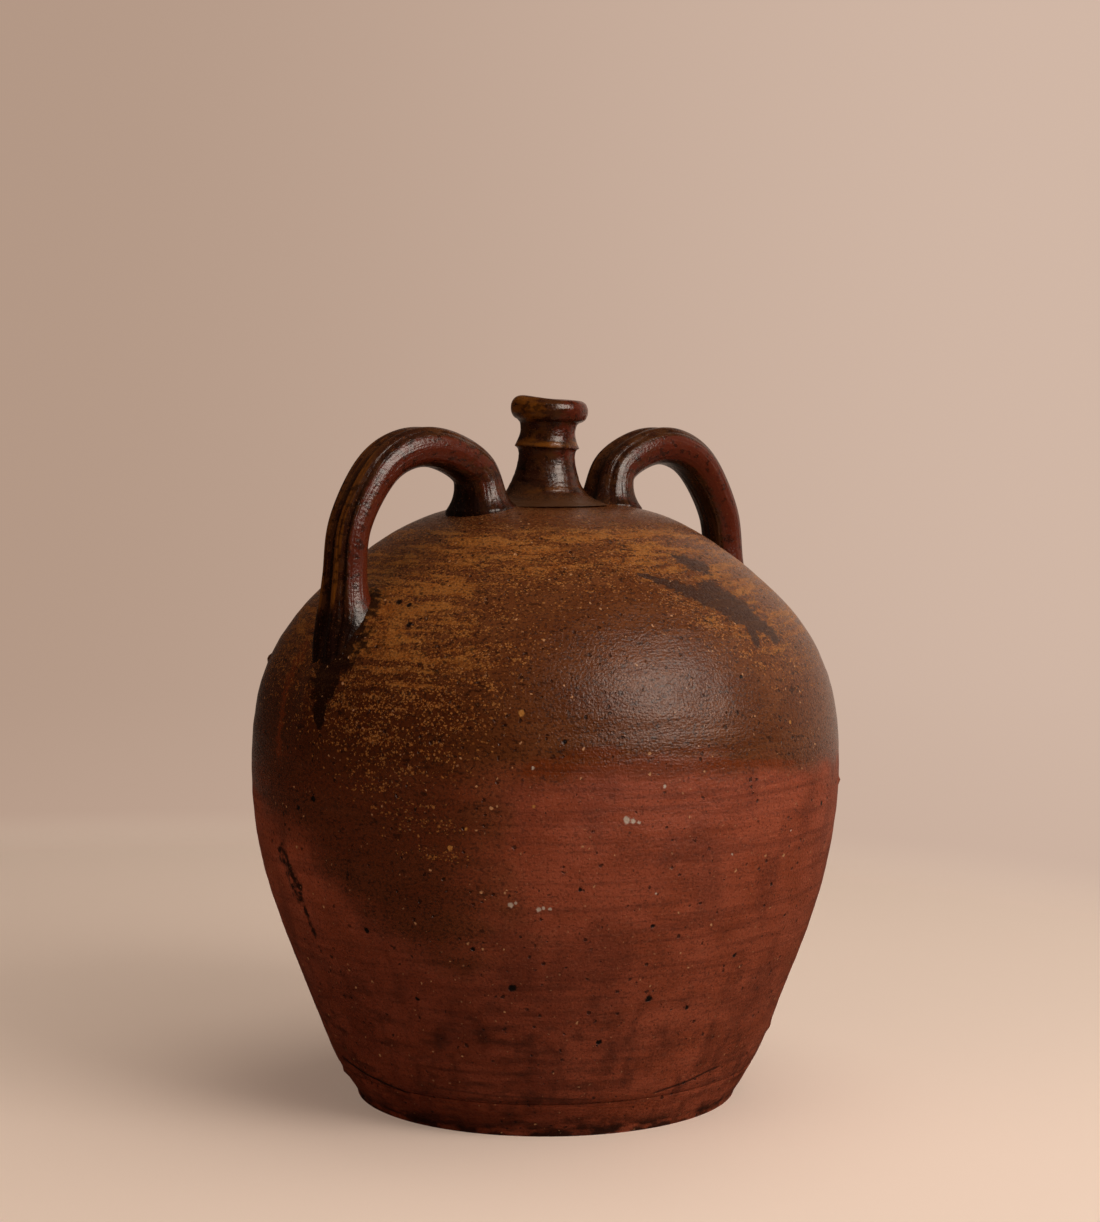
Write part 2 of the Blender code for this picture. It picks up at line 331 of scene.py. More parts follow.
def between(curve, low, high):
    """The stretch of a rising curve between two heights."""
    heights = [point.y for point in curve]
    radii = [point.x for point in curve]
    ends = [Vector((np.interp(height, heights, radii), height)) for height in (low, high)]
    inside = [point for point in curve if low < point.y < high]
    return [ends[0], *inside, ends[1]]


def inwards(curve, depth):
    """A rising curve moved into the clay by a depth."""
    moved = []
    for index, point in enumerate(curve):
        along = curve[min(index + 1, len(curve) - 1)] - curve[max(index - 1, 0)]
        moved.append(point - depth * Vector((along.y, -along.x)).normalized())
    return moved


print("the outline takes", len(spaced(outline, SKIN_SPACING)), "rows of vertices")

# %% [markdown]
# ## Where the handles are pressed on
#
# A pulled handle is pressed on with the thumb and smeared into the wall, so no sharp corner is
# left round its root. The wall rises towards each root in a low apron. Under the outer roots the
# thumb drags the clay downwards, which leaves a tongue that thins out after about 40 mm. The
# places of the roots follow from the boxes of the two CAD handles.

# %% Roots of the handles
SIDES = {"left": math.pi, "right": 0}
HANDLE_AZIMUTHS = {side: math.degrees(heading - FRONT) for side, heading in SIDES.items()}
NECK_ROOT_HALF = 13.6 * MM
OUTER_ROOT_HALF = 14.7 * MM
STRAP_HALF = 12.2 * MM
low_corner, high_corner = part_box("handle_right")
neck_root_radius = low_corner.x + NECK_ROOT_HALF
outer_root_radius = high_corner.x - OUTER_ROOT_HALF
outer_root_height = shoulder_height(outer_root_radius)
neck_root_height = shoulder_height(neck_root_radius)
root_radii = [round(radius / MM, 1) for radius in (neck_root_radius, outer_root_radius)]
print("the roots stand", root_radii, "mm from the axis")

# Footprints of the roots on the wall: height of the middle, half width and half length, in mm
OUTER_FOOTPRINT = (outer_root_height / MM, 18, 25)
NECK_FOOTPRINT = (neck_root_height / MM, 17, 14)
APRON_RISE = 2.4
APRON_REACH = 5
TONGUE_RISE = 3.0
TONGUE_DROP = 20
TONGUE_MIDDLE = shoulder_height(outer_root_radius + STRAP_HALF) / MM - TONGUE_DROP
TONGUE_HALF_WIDTH = 12
TONGUE_HALF_LENGTH = 22


def apron(skin, azimuth, footprint):
    """How far the wall rises towards a root, in mm."""
    height, half_width, half_length = footprint
    across, along = beside(skin, azimuth, height)
    ring = np.hypot(across / half_width, along / half_length)
    gap = (ring - 1) * (half_width + half_length) / 2
    return APRON_RISE * np.exp(-np.maximum(gap, 0) / APRON_REACH)


def handle_marks(skin):
    """Aprons round all four roots and the tongues under the outer ones, in mm."""
    rise = np.zeros(len(skin.run))
    for azimuth in HANDLE_AZIMUTHS.values():
        rise = np.maximum(rise, apron(skin, azimuth, OUTER_FOOTPRINT))
        rise = np.maximum(rise, apron(skin, azimuth, NECK_FOOTPRINT))
        tongue = patch(skin, azimuth, TONGUE_MIDDLE, TONGUE_HALF_WIDTH, TONGUE_HALF_LENGTH)
        rise = np.maximum(rise, TONGUE_RISE * tongue)
    return rise


# %% [markdown]
# ## What hands leave in the clay
#
# No thrown wall is a clean surface of revolution. Fingers climb it in a slow spiral and leave low
# rings. The clay sags and bulges by about a millimetre, and somebody's thumb leaves a dent. Each of
# these could be a bump in a shader, but a bump doesn't bend the outline or a reflection's edge.
# So they are pressed into the mesh: every outer vertex moves along its normal by a depth in mm.

# %% Press marks into an outer face
# All in mm. The skin starts a little inside the CAD wall, so that no mark stands out of it
SKIN_INSET = 1.0
ON_SKIN = 1.0
RING_RISE = 0.32
FINE_RING_RISE = 0.14
SAG_RISE = 0.8

# Lumps and dents: azimuth, height, half width, half length, tilt in degrees, rise in mm
LUMPS = (
    (31, 257, 16, 12, 0, -0.9),
    (-57, 148, 5, 14, -12, 2.4),
    (-60, 158, 9, 6, 0, 1.6),
    (-80, 14, 8, 2.5, 0, 1.4),
    (77, 44, 5, 3, 0, 1.0),
    (-88, 266, 2.2, 2, 0, 1.6),
    (80, 194, 2.2, 2, 0, 1.4),
    (72, 96, 2.4, 2, 0, 1.2),
    (64, 34, 2.4, 2, 0, 1.2),
    (-49.9, 11, 8, 3, 25, 1.1),
    (-24, 205, 30, 9, 0, 0.5),
    (12, 240, 60, 7, 0, -0.35),
    (120, 150, 40, 30, 0, -1.0),
    (-150, 180, 35, 22, 20, 0.9),
    (170, 90, 26, 12, -15, 1.2),
)


def press(mesh, points, directions, depth):
    """Move vertices from their points in mm along given directions, by depths in mm."""
    moved = (points + directions * depth[:, None]) * MM
    mesh.vertices.foreach_set("co", moved.ravel())
    mesh.update()


def wall_normals(skin):
    """Which way the outline faces at every vertex, and whether the vertex lies on the outline."""
    outward = np.interp(skin.run, outline_runs / MM, np.gradient(outline_heights, outline_runs))
    upward = -np.interp(skin.run, outline_runs / MM, np.gradient(outline_radii, outline_runs))
    radial = skin.points[:, :2] / np.maximum(skin.radius, 1)[:, None]
    facing = np.column_stack([radial * outward[:, None], upward])
    off_wall = np.abs(np.interp(skin.height, outline_heights / MM, outline_radii / MM) - skin.radius)
    off_top = np.abs(shoulder_height(skin.radius * MM) / MM - skin.height)
    return facing, np.minimum(off_wall, off_top) < ON_SKIN


def wall_marks(skin):
    """Finger rings, sag, lumps and dents of the thrown walls, in mm."""
    rings = RING_RISE * clouds(skin.points, (150, 150, 12), 3.1)
    fine_rings = FINE_RING_RISE * clouds(skin.points, (220, 220, 4.5), 8.4)
    sag = SAG_RISE * clouds(skin.points, (110, 110, 70), 5.7)
    depth = rings + fine_rings + sag - SKIN_INSET
    for azimuth, height, width, tall, tilt, rise in LUMPS:
        depth += rise * patch(skin, azimuth, height, width, tall, tilt)
    return depth + handle_marks(skin)


print(len(LUMPS), "lumps and dents")

# %% [markdown]
# ## Base, lower wall and shoulder
#
# The three big pieces are cut from one outline at the heights where the CAD solids part. The joint
# above the base stays open by a hair, because the photograph shows it as a dark line all round the
# front. The seam between the two thrown halves was wiped shut, so there the pieces touch.

# %% Three turned walls
BASE_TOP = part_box("base")[1].z
WALL_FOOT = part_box("lower_wall")[0].z
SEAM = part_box("shoulder")[0].z
FOOT_EDGE = 2.5 * MM
FLOOR = 12 * MM
FLOOR_CORNER = 8 * MM
ARRIS = 0.8 * MM
# Height in mm under which nothing is pressed in, because the jar stands on it
STANDING = 0.1

lining = inwards(outline, WALL)
throat = outline[-1].y


def softened(curve, top=0, foot=0):
    """A stretch of outline whose ends are rounded off inwards by small radii."""
    start, end = curve[0], curve[-1]
    soft = [point for point in curve if start.y + foot <= point.y <= end.y - top]
    if foot:
        soft.insert(0, Vector((start.x - foot, start.y)))
    if top:
        soft.append(Vector((end.x - top, end.y)))
    return soft


def wall_profile(low, high, soft_foot=0):
    """Outer face down and inner face up, between two heights."""
    outer = softened(spaced(between(outline, low, high), SKIN_SPACING), foot=soft_foot)
    inner = spaced(between(lining, low, min(high, lining[-1].y)), LINING_SPACING)
    return outer[::-1] + inner


foot_radius = outline[0].x
rim = softened(spaced(between(outline, FOOT_EDGE, BASE_TOP), SKIN_SPACING), top=ARRIS)
inner_rim = between(lining, FLOOR, BASE_TOP)[-1]
underside = [Vector((foot_radius * share, 0)) for share in (0, 0.5, 0.9, 0.985, 1)]
inside = [Vector((inner_rim.x - FLOOR_CORNER, FLOOR)), Vector((0, FLOOR))]
base_mesh = turned("jar_base", [*underside, *rim, inner_rim, *inside], closed=False)
lower_mesh = turned("jar_lower_wall", wall_profile(WALL_FOOT, SEAM, ARRIS))
upper_mesh = turned("jar_shoulder", wall_profile(SEAM, throat))

skins = {}
for mesh in (base_mesh, lower_mesh, upper_mesh):
    skin = places(mesh)
    facing, outer = wall_normals(skin)
    pressed = outer & (skin.height >= STANDING)
    press(mesh, skin.points, facing, np.where(pressed, wall_marks(skin), 0))
    skins[mesh.name] = skin
    print(mesh.name, "has", len(mesh.polygons), "faces")

# %% [markdown]
# ## Where each glaze lies
#
# The jar was dipped and poured, so each glaze ends in a line that a hand made: nearly level on the
# right, and far lower on the left, where the brown runs down over the red. Such lines could be
# built from nodes alone, but a hand-made line is easier to draw. So each glaze gets a map, one
# number per vertex. Vertices stand 2 mm apart, which is too coarse for a crisp edge, so a map
# only says roughly where a glaze lies. The shader later breaks its edge up with fine noise.

# %% Tools for painting
def smoothstep(low, high, values):
    """0 below low, 1 above high, and a soft rise in between."""
    share = np.clip((values - low) / (high - low), 0, 1)
    return share * share * (3 - 2 * share)


def above(line, blur, heights):
    """0 below a line, 1 above it, and a soft rise that reaches as far as the blur on both sides."""
    return smoothstep(line - blur, line + blur, heights)


def around_jar(skin, table):
    """Value of a table of (azimuth, value) at every vertex, joined up all the way round."""
    azimuths, values = zip(*table)
    return np.interp(skin.azimuth, azimuths, values, period=360)


def stroke(skin, start, end, start_width, end_width):
    """A brush stroke between two places: 1 along its middle, 0.5 at so many mm beside it."""
    across, along = beside(skin, *start)
    radius = np.interp((start[1] + end[1]) / 2, outline_heights / MM, outline_radii / MM)
    reach = np.array([math.radians(end[0] - start[0]) * radius, run_at(end[1]) - run_at(start[1])])
    share = np.clip((across * reach[0] + along * reach[1]) / (reach @ reach), 0, 1)
    off = np.hypot(across - share * reach[0], along - share * reach[1])
    width = start_width + share * (end_width - start_width)
    return np.clip(1 - off / (2 * width), 0, 1)


def strokes(skin, table):
    """Many brush strokes laid over each other."""
    laid = np.zeros(len(skin.run))
    for start, end, start_width, end_width in table:
        laid = np.maximum(laid, stroke(skin, start, end, start_width, end_width))
    return laid


print("a rise from 0 to 4 mm:", smoothstep(0, 4, np.arange(5)).round(2).tolist())

# %% [markdown]
# The ochre glaze was poured over the shoulder. It lies thick round the neck, breaks into ever
# fewer grains further down, and reaches lowest on the left. The red slip shows below the glaze
# line. Two tables give these lines round the jar; the back isn't seen, so there they only close
# the circle.

# %% Lines of the ochre and of the slip
# Azimuth and height in mm down to which any ochre grains are found
OCHRE_FOOT = (
    (-150, 240), (-110, 240), (-80, 240), (-62, 228), (-50, 214), (-40, 192), (-28, 166),
    (-20, 166), (-12, 200), (-5, 246), (3, 278), (16, 290), (30, 290), (40, 268), (50, 246),
    (62, 248), (80, 256), (170, 250),
)
# Azimuth and height in mm above which ochre covers the wall
OCHRE_TOP = (
    (-150, 306), (-110, 300), (-80, 296), (-60, 296), (-45, 282), (-30, 284), (-15, 304),
    (-5, 326), (16, 332), (33, 312), (45, 292), (60, 286), (80, 290), (120, 298), (170, 304),
)
# From the one to the other the grains thicken slowly at first, as a power of the height
OCHRE_POWER = 1.5
# Clusters of grains in the veil: azimuth, height, half width and half length in mm, and share
GRAIN_CLUSTERS = (
    (-22.5, 188, 15, 3.5, 0.8),
    (-20, 171, 18, 2.6, 0.7),
    (-32, 204, 20, 3, 0.3),
    (-36, 232, 26, 5, 0.3),
    (-30, 262, 34, 5, 0.3),
)
# Where ochre pooled into a closed coat, in the same order
POOLS = (
    (-33, 303, 26, 20, 1.0),
    (-14, 336, 44, 12, 0.4),
)
# A broad spot with hardly any grains, and the share of them that is missing there
BROWN_SPOT = (8, 303, 58, 26)
BROWN_SHARE = 0.92
# Azimuth, and height in mm of the line under which the slip shows
SLIP_LINE = (
    (-150, 206), (-90, 210), (0, 218), (15, 219), (30, 218), (55, 214), (80, 211), (170, 205),
)
SLIP_BLUR = 18
# Azimuth, and height in mm down to which a veil of brown glaze hangs over the slip
VEIL_FOOT = (
    (-150, 190), (-90, 200), (-66, 190), (-52, 172), (-44, 150), (-30, 124), (-17, 104), (0, 110),
    (60, 190),
)
VEIL_BLUR = 32
# Height in mm over which the glaze beside the neck turns dry and grey-brown, partly its own colour
# and partly a painted sheen, and the ochre it loses
BARE_AND_SHEEN_EDGE = (343, 353)
BARE_AND_SHEEN_SHARE = 0.62

# Clouds that let all these lines wander: size in mm each way, and seed
BROAD, ROUGH, LEVEL = ((60, 60, 40), 4.2), ((18, 18, 9), 7.7), ((90, 90, 7), 9.1)
# How far the broad, rough and level clouds move a line, in mm
OCHRE_WANDER = (7, 3.5, 2.5)
SLIP_WANDER = (8, 3, 1.5)
VEIL_WANDER = (14, 0, 6)
# Where a map fades out, in degrees or in mm of height, and how far the clouds move that edge
VEIL_EDGE = ((-26, 8), (5, 2, 0))
# The same brown, thinner, darkens the lowest part of the left half: partly a thin stain, partly
# painted shade
STAIN_AND_SHADE_TOP = ((70, 150), (12, 0, 0))
STAIN_AND_SHADE_EDGE = ((-4, 26), (6, 0, 0))
# The left half, away from the window, is a darker umber, except high up: partly the glaze's own
# umber, partly painted shade
UMBER_AND_SHADE_EDGE = ((-24, 2), (6, 0, 0))
UMBER_AND_SHADE_TOP = ((250, 295), (0, 6, 0))
UMBER_AND_SHADE_LOST = 0.85
# Azimuths at the back between which these three fade in again
BACK_FADE = (-170, -120)

print("the slip line lies at", min(SLIP_LINE, key=lambda spot: spot[1])[1], "mm or higher")

# %% [markdown]
# Iron was splashed on the shoulder, thumbs smeared it under the handles, and a burnt scar on the
# left is probably where another pot touched the jar in the kiln. Such marks could be painted as a
# picture. But a few brush strokes, each from place to place with its own widths, say the same, and
# they can still be moved or made wider one by one.

# %% Splash, smears, scar and runs
# Each stroke has a start, an end, and its half widths there in mm.
# Iron splash on the right of the shoulder, drawn from its tail to its fork
SPLASH = (
    ((26, 323), (33, 318), 1.4, 3.4),
    ((33, 318), (41, 310.5), 3.4, 6.5),
    ((41, 310.5), (48.5, 303), 7, 9.5),
    ((46, 313), (52, 302), 7, 9),
    ((48.5, 303), (57.5, 286), 9.5, 5),
    ((51, 296), (49, 284), 5, 3),
    ((45.5, 329), (50, 325), 6, 6.5),
)
# Dark iron round the handles' feet, smeared down by the thumb
SMEARS = (
    ((-48, 300), (-46, 280), 17, 16),
    ((-46, 280), (-46.5, 264), 15, 10),
    ((-46.5, 264), (-46, 238), 9, 3),
    ((130, 312), (131, 272), 19, 13),
    ((131, 272), (133, 244), 11, 2.5),
)
# Burnt edge of the scar on the left, and the drip that ran from it
SCAR = (
    ((-61.0, 160), (-59.2, 164.5), 1.6, 2.0),
    ((-59.2, 164.5), (-57.0, 156), 2.2, 3.0),
    ((-57.0, 156), (-55.0, 139), 3.2, 4.4),
    ((-55.0, 139), (-57.4, 132), 3.6, 2.0),
    ((-61.2, 157), (-58.4, 136), 1.0, 1.2),
    ((-55.6, 134), (-54.6, 114), 1.6, 3.0),
)
SCAR_FACE = (((-60.2, 160), (-56.6, 138), 7, 7),)
SCAR_SHARE = 0.7
SCAR_FACE_SHARE = 0.5
# Glaze that ran thin and clear: a run from the left handle, and the drop line at the seam
AMBER_STREAKS = (
    ((-59, 290), (-60, 262), 5.0, 5.0),
    ((-60, 262), (-59.5, 218), 4.0, 2.4),
    ((-2, 219), (12, 222), 4.0, 8.0),
    ((12, 222), (34, 219), 8.0, 5.0),
    ((34, 219), (52, 215), 3.0, 1.0),
)
print(len(SPLASH) + len(SMEARS) + len(SCAR) + len(AMBER_STREAKS), "strokes")

# %% [markdown]
# Where two parts of the clay meet, a hairline is left. It is thinner than the 2 mm between two
# vertices, so a map of 0 and 1 can't hold it. This map holds the distance to the line instead,
# which changes slowly from vertex to vertex, and the shader draws a thin line where it is small.

# %% Hairlines
# Start, end and strength, first of the seam, then of the joint above the foot
HAIRLINES = (
    ((-4, 220.2), (9, 219.0), 0.3),
    ((-66, 31), (-38, 20.5), 1.0),
    ((28, 24), (50, 33), 0.8),
    ((-30, 28.5), (10, 24.5), 0.35),
)
HAIRLINE_WANDER = 0.8
# Shares of its length over which a hairline fades in and out
HAIRLINE_START = (-0.05, 0.08)
HAIRLINE_END = (0.92, 1.05)
FAR_OFF = 99.0


def hairlines(skin):
    """Distance in mm to the nearest hairline, with its sign, and how strong that line is there."""
    nearest = np.full(len(skin.run), FAR_OFF)
    strength = np.zeros(len(skin.run))
    wander = HAIRLINE_WANDER * clouds(skin.points, (16, 16, 16), 6.6)
    for start, end, dark in HAIRLINES:
        share = (skin.azimuth - start[0]) / (end[0] - start[0])
        height = start[1] + np.clip(share, 0, 1) * (end[1] - start[1])
        off = skin.run - run_at(height) + wander
        here = smoothstep(*HAIRLINE_START, share) * (1 - smoothstep(*HAIRLINE_END, share))
        closer = (here > 0) & (np.abs(off) < np.abs(nearest))
        nearest = np.where(closer, off, nearest)
        strength = np.where(closer, dark * here, strength)
    return nearest, strength


print(len(HAIRLINES), "hairlines")

# %% Maps of the glazes
def glaze_maps(skin):
    """How much of each glaze lies at every vertex, from 0 to 1, and the tape measure in mm."""
    waves = [clouds(skin.points, size, seed) for size, seed in (BROAD, ROUGH, LEVEL)]

    def wandering(values, reach):
        """Heights or azimuths, pushed to and fro by the clouds."""
        return values + sum(far * wave for far, wave in zip(reach, waves))

    def faded(values, edge, reach):
        """1 before an edge that wanders, and 0 behind it."""
        return 1 - smoothstep(*edge, wandering(values, reach))

    foot, top = around_jar(skin, OCHRE_FOOT), around_jar(skin, OCHRE_TOP)
    height = wandering(skin.height, OCHRE_WANDER)
    ochre = np.clip((height - foot) / (top - foot), 0, 1) ** OCHRE_POWER
    ochre *= 1 - BROWN_SHARE * patch(skin, *BROWN_SPOT, edge=4)
    ochre += patches(skin, GRAIN_CLUSTERS)
    bare = smoothstep(*BARE_AND_SHEEN_EDGE, skin.height)
    glazed = above(around_jar(skin, SLIP_LINE), SLIP_BLUR, wandering(skin.height, SLIP_WANDER))
    hanging = above(around_jar(skin, VEIL_FOOT), VEIL_BLUR, wandering(skin.height, VEIL_WANDER))
    front = smoothstep(*BACK_FADE, skin.azimuth)
    umber_and_shade_top = 1 - faded(skin.height, *UMBER_AND_SHADE_TOP)
    scar = np.maximum(SCAR_SHARE * strokes(skin, SCAR), SCAR_FACE_SHARE * strokes(skin, SCAR_FACE))
    hairline, hairline_here = hairlines(skin)
    return {
        "run": skin.run,
        "ochre": ochre * (1 - BARE_AND_SHEEN_SHARE * bare),
        "slip": 1 - glazed,
        "veil": front * hanging * faded(skin.azimuth, *VEIL_EDGE),
        "stained": front * faded(skin.height, *STAIN_AND_SHADE_TOP) * faded(skin.azimuth, *STAIN_AND_SHADE_EDGE),
        "umber": front * faded(skin.azimuth, *UMBER_AND_SHADE_EDGE) * (1 - UMBER_AND_SHADE_LOST * umber_and_shade_top),
        "pooled": patches(skin, POOLS),
        "bare": bare,
        "splash": strokes(skin, SPLASH),
        "smear": strokes(skin, SMEARS) + scar,
        "amber": strokes(skin, AMBER_STREAKS),
        "hairline": hairline,
        "hairline_here": hairline_here,
    }


def paint(mesh, maps):
    """Store each map on the mesh under its name."""
    for name, values in maps.items():
        layer = mesh.attributes.new(name, "FLOAT", "POINT")
        layer.data.foreach_set("value", values)


for mesh in (base_mesh, lower_mesh, upper_mesh):
    body_maps = glaze_maps(skins[mesh.name])
    paint(mesh, body_maps)
BODY_MAPS = tuple(body_maps)
print("maps:", BODY_MAPS)

# %% [markdown]
# ## The neck
#
# The neck was thrown apart on its own and luted on. It flares into the shoulder, carries a collar
# with a sharp lower edge where a stopper's cord would be tied, and ends in a fat rolled lip. All
# of that is one turned outline again, but this one has a corner that must stay sharp, so it is
# drawn in two smooth stretches that meet at the collar's tip. The neck leans by a few degrees, as
# the CAD neck does: the SimpleDeform modifier bends the turned mesh in the same way.

# %% Neck
NECK_TURN_STEPS = 200
NECK_SPACING = 0.8 * MM
NECK_LEAN = math.radians(5.5)
NECK_LEAN_HEADING = math.radians(-40)
SHOULDER_TOP = 360 * MM

# Radius and height above the shoulder's top in mm, from inside the mouth over the lip to the collar
MOUTH_AND_LIP = (
    (11.0, 44.0),
    (11.0, 54.0),
    (11.6, 59.0),
    (13.4, 62.0),
    (16.2, 63.3),
    (19.6, 63.2),
    (22.2, 61.4),
    (23.5, 58.2),
    (23.5, 54.8),
    (22.4, 51.8),
    (20.6, 49.9),
    (18.8, 48.9),
    (17.6, 47.0),
    (17.1, 43.8),
    (17.2, 40.6),
    (17.9, 37.8),
    (19.0, 35.2),
    (19.8, 33.8),
)
# The same from under the collar down to where the flare has run out on the shoulder
FLARE = (
    (19.7, 33.2),
    (18.3, 32.2),
    (17.6, 30.6),
    (17.4, 28.0),
    (18.1, 23.0),
    (19.8, 16.6),
    (22.2, 10.6),
    (25.4, 5.6),
    (29.4, 2.4),
    (33.6, 0.4),
    (38.0, -1.6),
)
NECK_INSIDE = ((36.0, -2.4), (12.0, -1.1), (11.0, 19.0))


def in_metres(points):
    """Points given in mm."""
    return [Vector(point) * MM for point in points]


neck_outer = smooth_curve(in_metres(MOUTH_AND_LIP), CURVE_STEPS)
neck_lower = smooth_curve(in_metres(FLARE), CURVE_STEPS)
neck_profile = spaced(neck_outer, NECK_SPACING) + spaced(neck_lower, NECK_SPACING)
neck_profile += in_metres(NECK_INSIDE)
neck_mesh = turned("jar_neck", neck_profile, columns=NECK_TURN_STEPS, lean=NECK_LEAN)
neck_heights = places(neck_mesh).height
neck_mesh.transform(Matrix.Rotation(NECK_LEAN_HEADING, 4, "Z"))
neck_mesh.transform(Matrix.Translation((0, 0, SHOULDER_TOP)))
neck_skin = places(neck_mesh)
print("the neck has", len(neck_mesh.polygons), "faces")

# %% Hand marks on the neck
# All in mm
NECK_INSET = 0.25
NECK_LUMP_RISE = 0.5
NECK_RING_RISE = 0.16
LIP_SAG_RISE = 0.5
LIP_FOOT = 49

neck_lumps = NECK_LUMP_RISE * clouds(neck_skin.points, (14, 14, 9), 2.2)
neck_rings = NECK_RING_RISE * clouds(neck_skin.points, (60, 60, 1.6), 6.3)
sagging = LIP_SAG_RISE * clouds(neck_skin.points, (26, 26, 12), 1.4)
lip_sag = np.where(neck_heights > LIP_FOOT, sagging, 0)
flat_normals = np.empty(3 * len(neck_mesh.vertices))
neck_mesh.vertex_normals.foreach_get("vector", flat_normals)
neck_normals = flat_normals.reshape(-1, 3)
neck_marks = neck_lumps + neck_rings + lip_sag - NECK_INSET
press(neck_mesh, neck_skin.points, neck_normals, neck_marks)
print("marks on the neck, in mm:", round(neck_marks.min(), 2), "to", round(neck_marks.max(), 2))

# %% [markdown]
# ## The handles
#
# A strap handle is pulled from a lump of clay with wet fingers. That leaves lengthwise grooves on
# its outer face and rounds its edges. A Bezier curve with a bevel object would sweep such a section
# too, but its corners would carry no word of where they lie. Here the rings are set one by one
# along the arch, so each corner also knows how far along and how far round the strap it is, and
# the glaze streaks can follow the strap later.

# %% The strap's line and section
STRAP_WIDTH = 30 * MM
STRAP_THICKNESS = 2 * STRAP_HALF
ROOT_DEPTH = 7 * MM
# How the thumb drew the outer root down the wall: way down, depth into the wall in mm, and girth
FOOT_LINE = ((10, 4, 1.06), (20, 8, 0.92), (30, 12.5, 0.74))
ROUND_STEPS = 5
LINE_STEPS = 14

# Share of the reach between the roots, share of the rise to the crown, and girth of the strap
HANDLE_LINE = (
    (0.0, 0.632, 1.10),
    (0.05, 0.86, 1.02),
    (0.30, 0.993, 1.0),
    (0.55, 0.993, 1.0),
    (0.768, 0.862, 0.98),
    (0.948, 0.56, 0.93),
    (0.99, 0.25, 0.95),
    (1.0, 0.0, 1.14),
)
# Half of the section: share of the half width, share of the half thickness
STRAP_SECTION = (
    (0.0, -0.96),
    (0.34, -0.92),
    (0.62, -0.78),
    (0.84, -0.54),
    (0.97, -0.20),
    (0.98, 0.14),
    (0.91, 0.45),
    (0.80, 0.64),
    (0.70, 0.70),
    (0.58, 0.86),
    (0.42, 0.96),
    (0.24, 0.93),
    (0.10, 0.84),
    (0.0, 0.81),
)
crown = 393 * MM
reach = outer_root_radius - neck_root_radius
rise = crown - outer_root_height


def down_the_wall(drop, depth, girth):
    """A point under the outer root: so many mm down along the wall, and so many into it."""
    run = run_at(outer_root_height / MM) * MM - drop * MM
    radius = np.interp(run, outline_runs, outline_radii)
    height = np.interp(run, outline_runs, outline_heights)
    outward = np.interp(run, outline_runs, np.gradient(outline_heights, outline_runs))
    upward = -np.interp(run, outline_runs, np.gradient(outline_radii, outline_runs))
    return Vector((radius - outward * depth * MM, height - upward * depth * MM, girth))


def strap_line():
    """Middle points (out, up) of the strap with their girths, buried at both ends."""
    knots = [
        Vector((neck_root_radius + out * reach, outer_root_height + high * rise, girth))
        for out, high, girth in HANDLE_LINE
    ]
    knots[0].y = neck_root_height
    knots.insert(0, knots[0] - Vector((0, ROOT_DEPTH, 0)))
    knots += [down_the_wall(*spot) for spot in FOOT_LINE]
    return smooth_curve(knots, LINE_STEPS)


def strap_section():
    """Closed outline of the strap as (across, out), in metres."""
    half = [
        Vector((across * STRAP_WIDTH / 2, out * STRAP_THICKNESS / 2)) for across, out in STRAP_SECTION
    ]
    mirrored = [Vector((-point.x, point.y)) for point in half[-2:0:-1]]
    loop = half + mirrored + half[:1]
    return smooth_curve(loop, ROUND_STEPS)[:-1]


print("a strap has", len(strap_line()), "rings of", len(strap_section()), "corners")

# %% Sweep a handle
OUTER_FILLET = 2.0 * MM
OUTER_FILLET_REACH = 6 * MM
NECK_FILLET = 6.5 * MM
NECK_FILLET_REACH = 6 * MM
# How far apart two points are that give the wall's slope
SLOPE_STEP = 2 * MM


def wall_gap(out, high):
    """How far a point lies off the shoulder's face, roughly at right angles to it."""
    wall_height = shoulder_height(out)
    slope = (shoulder_height(out + SLOPE_STEP) - wall_height) / SLOPE_STEP
    return (high - wall_height) / math.hypot(1, slope)


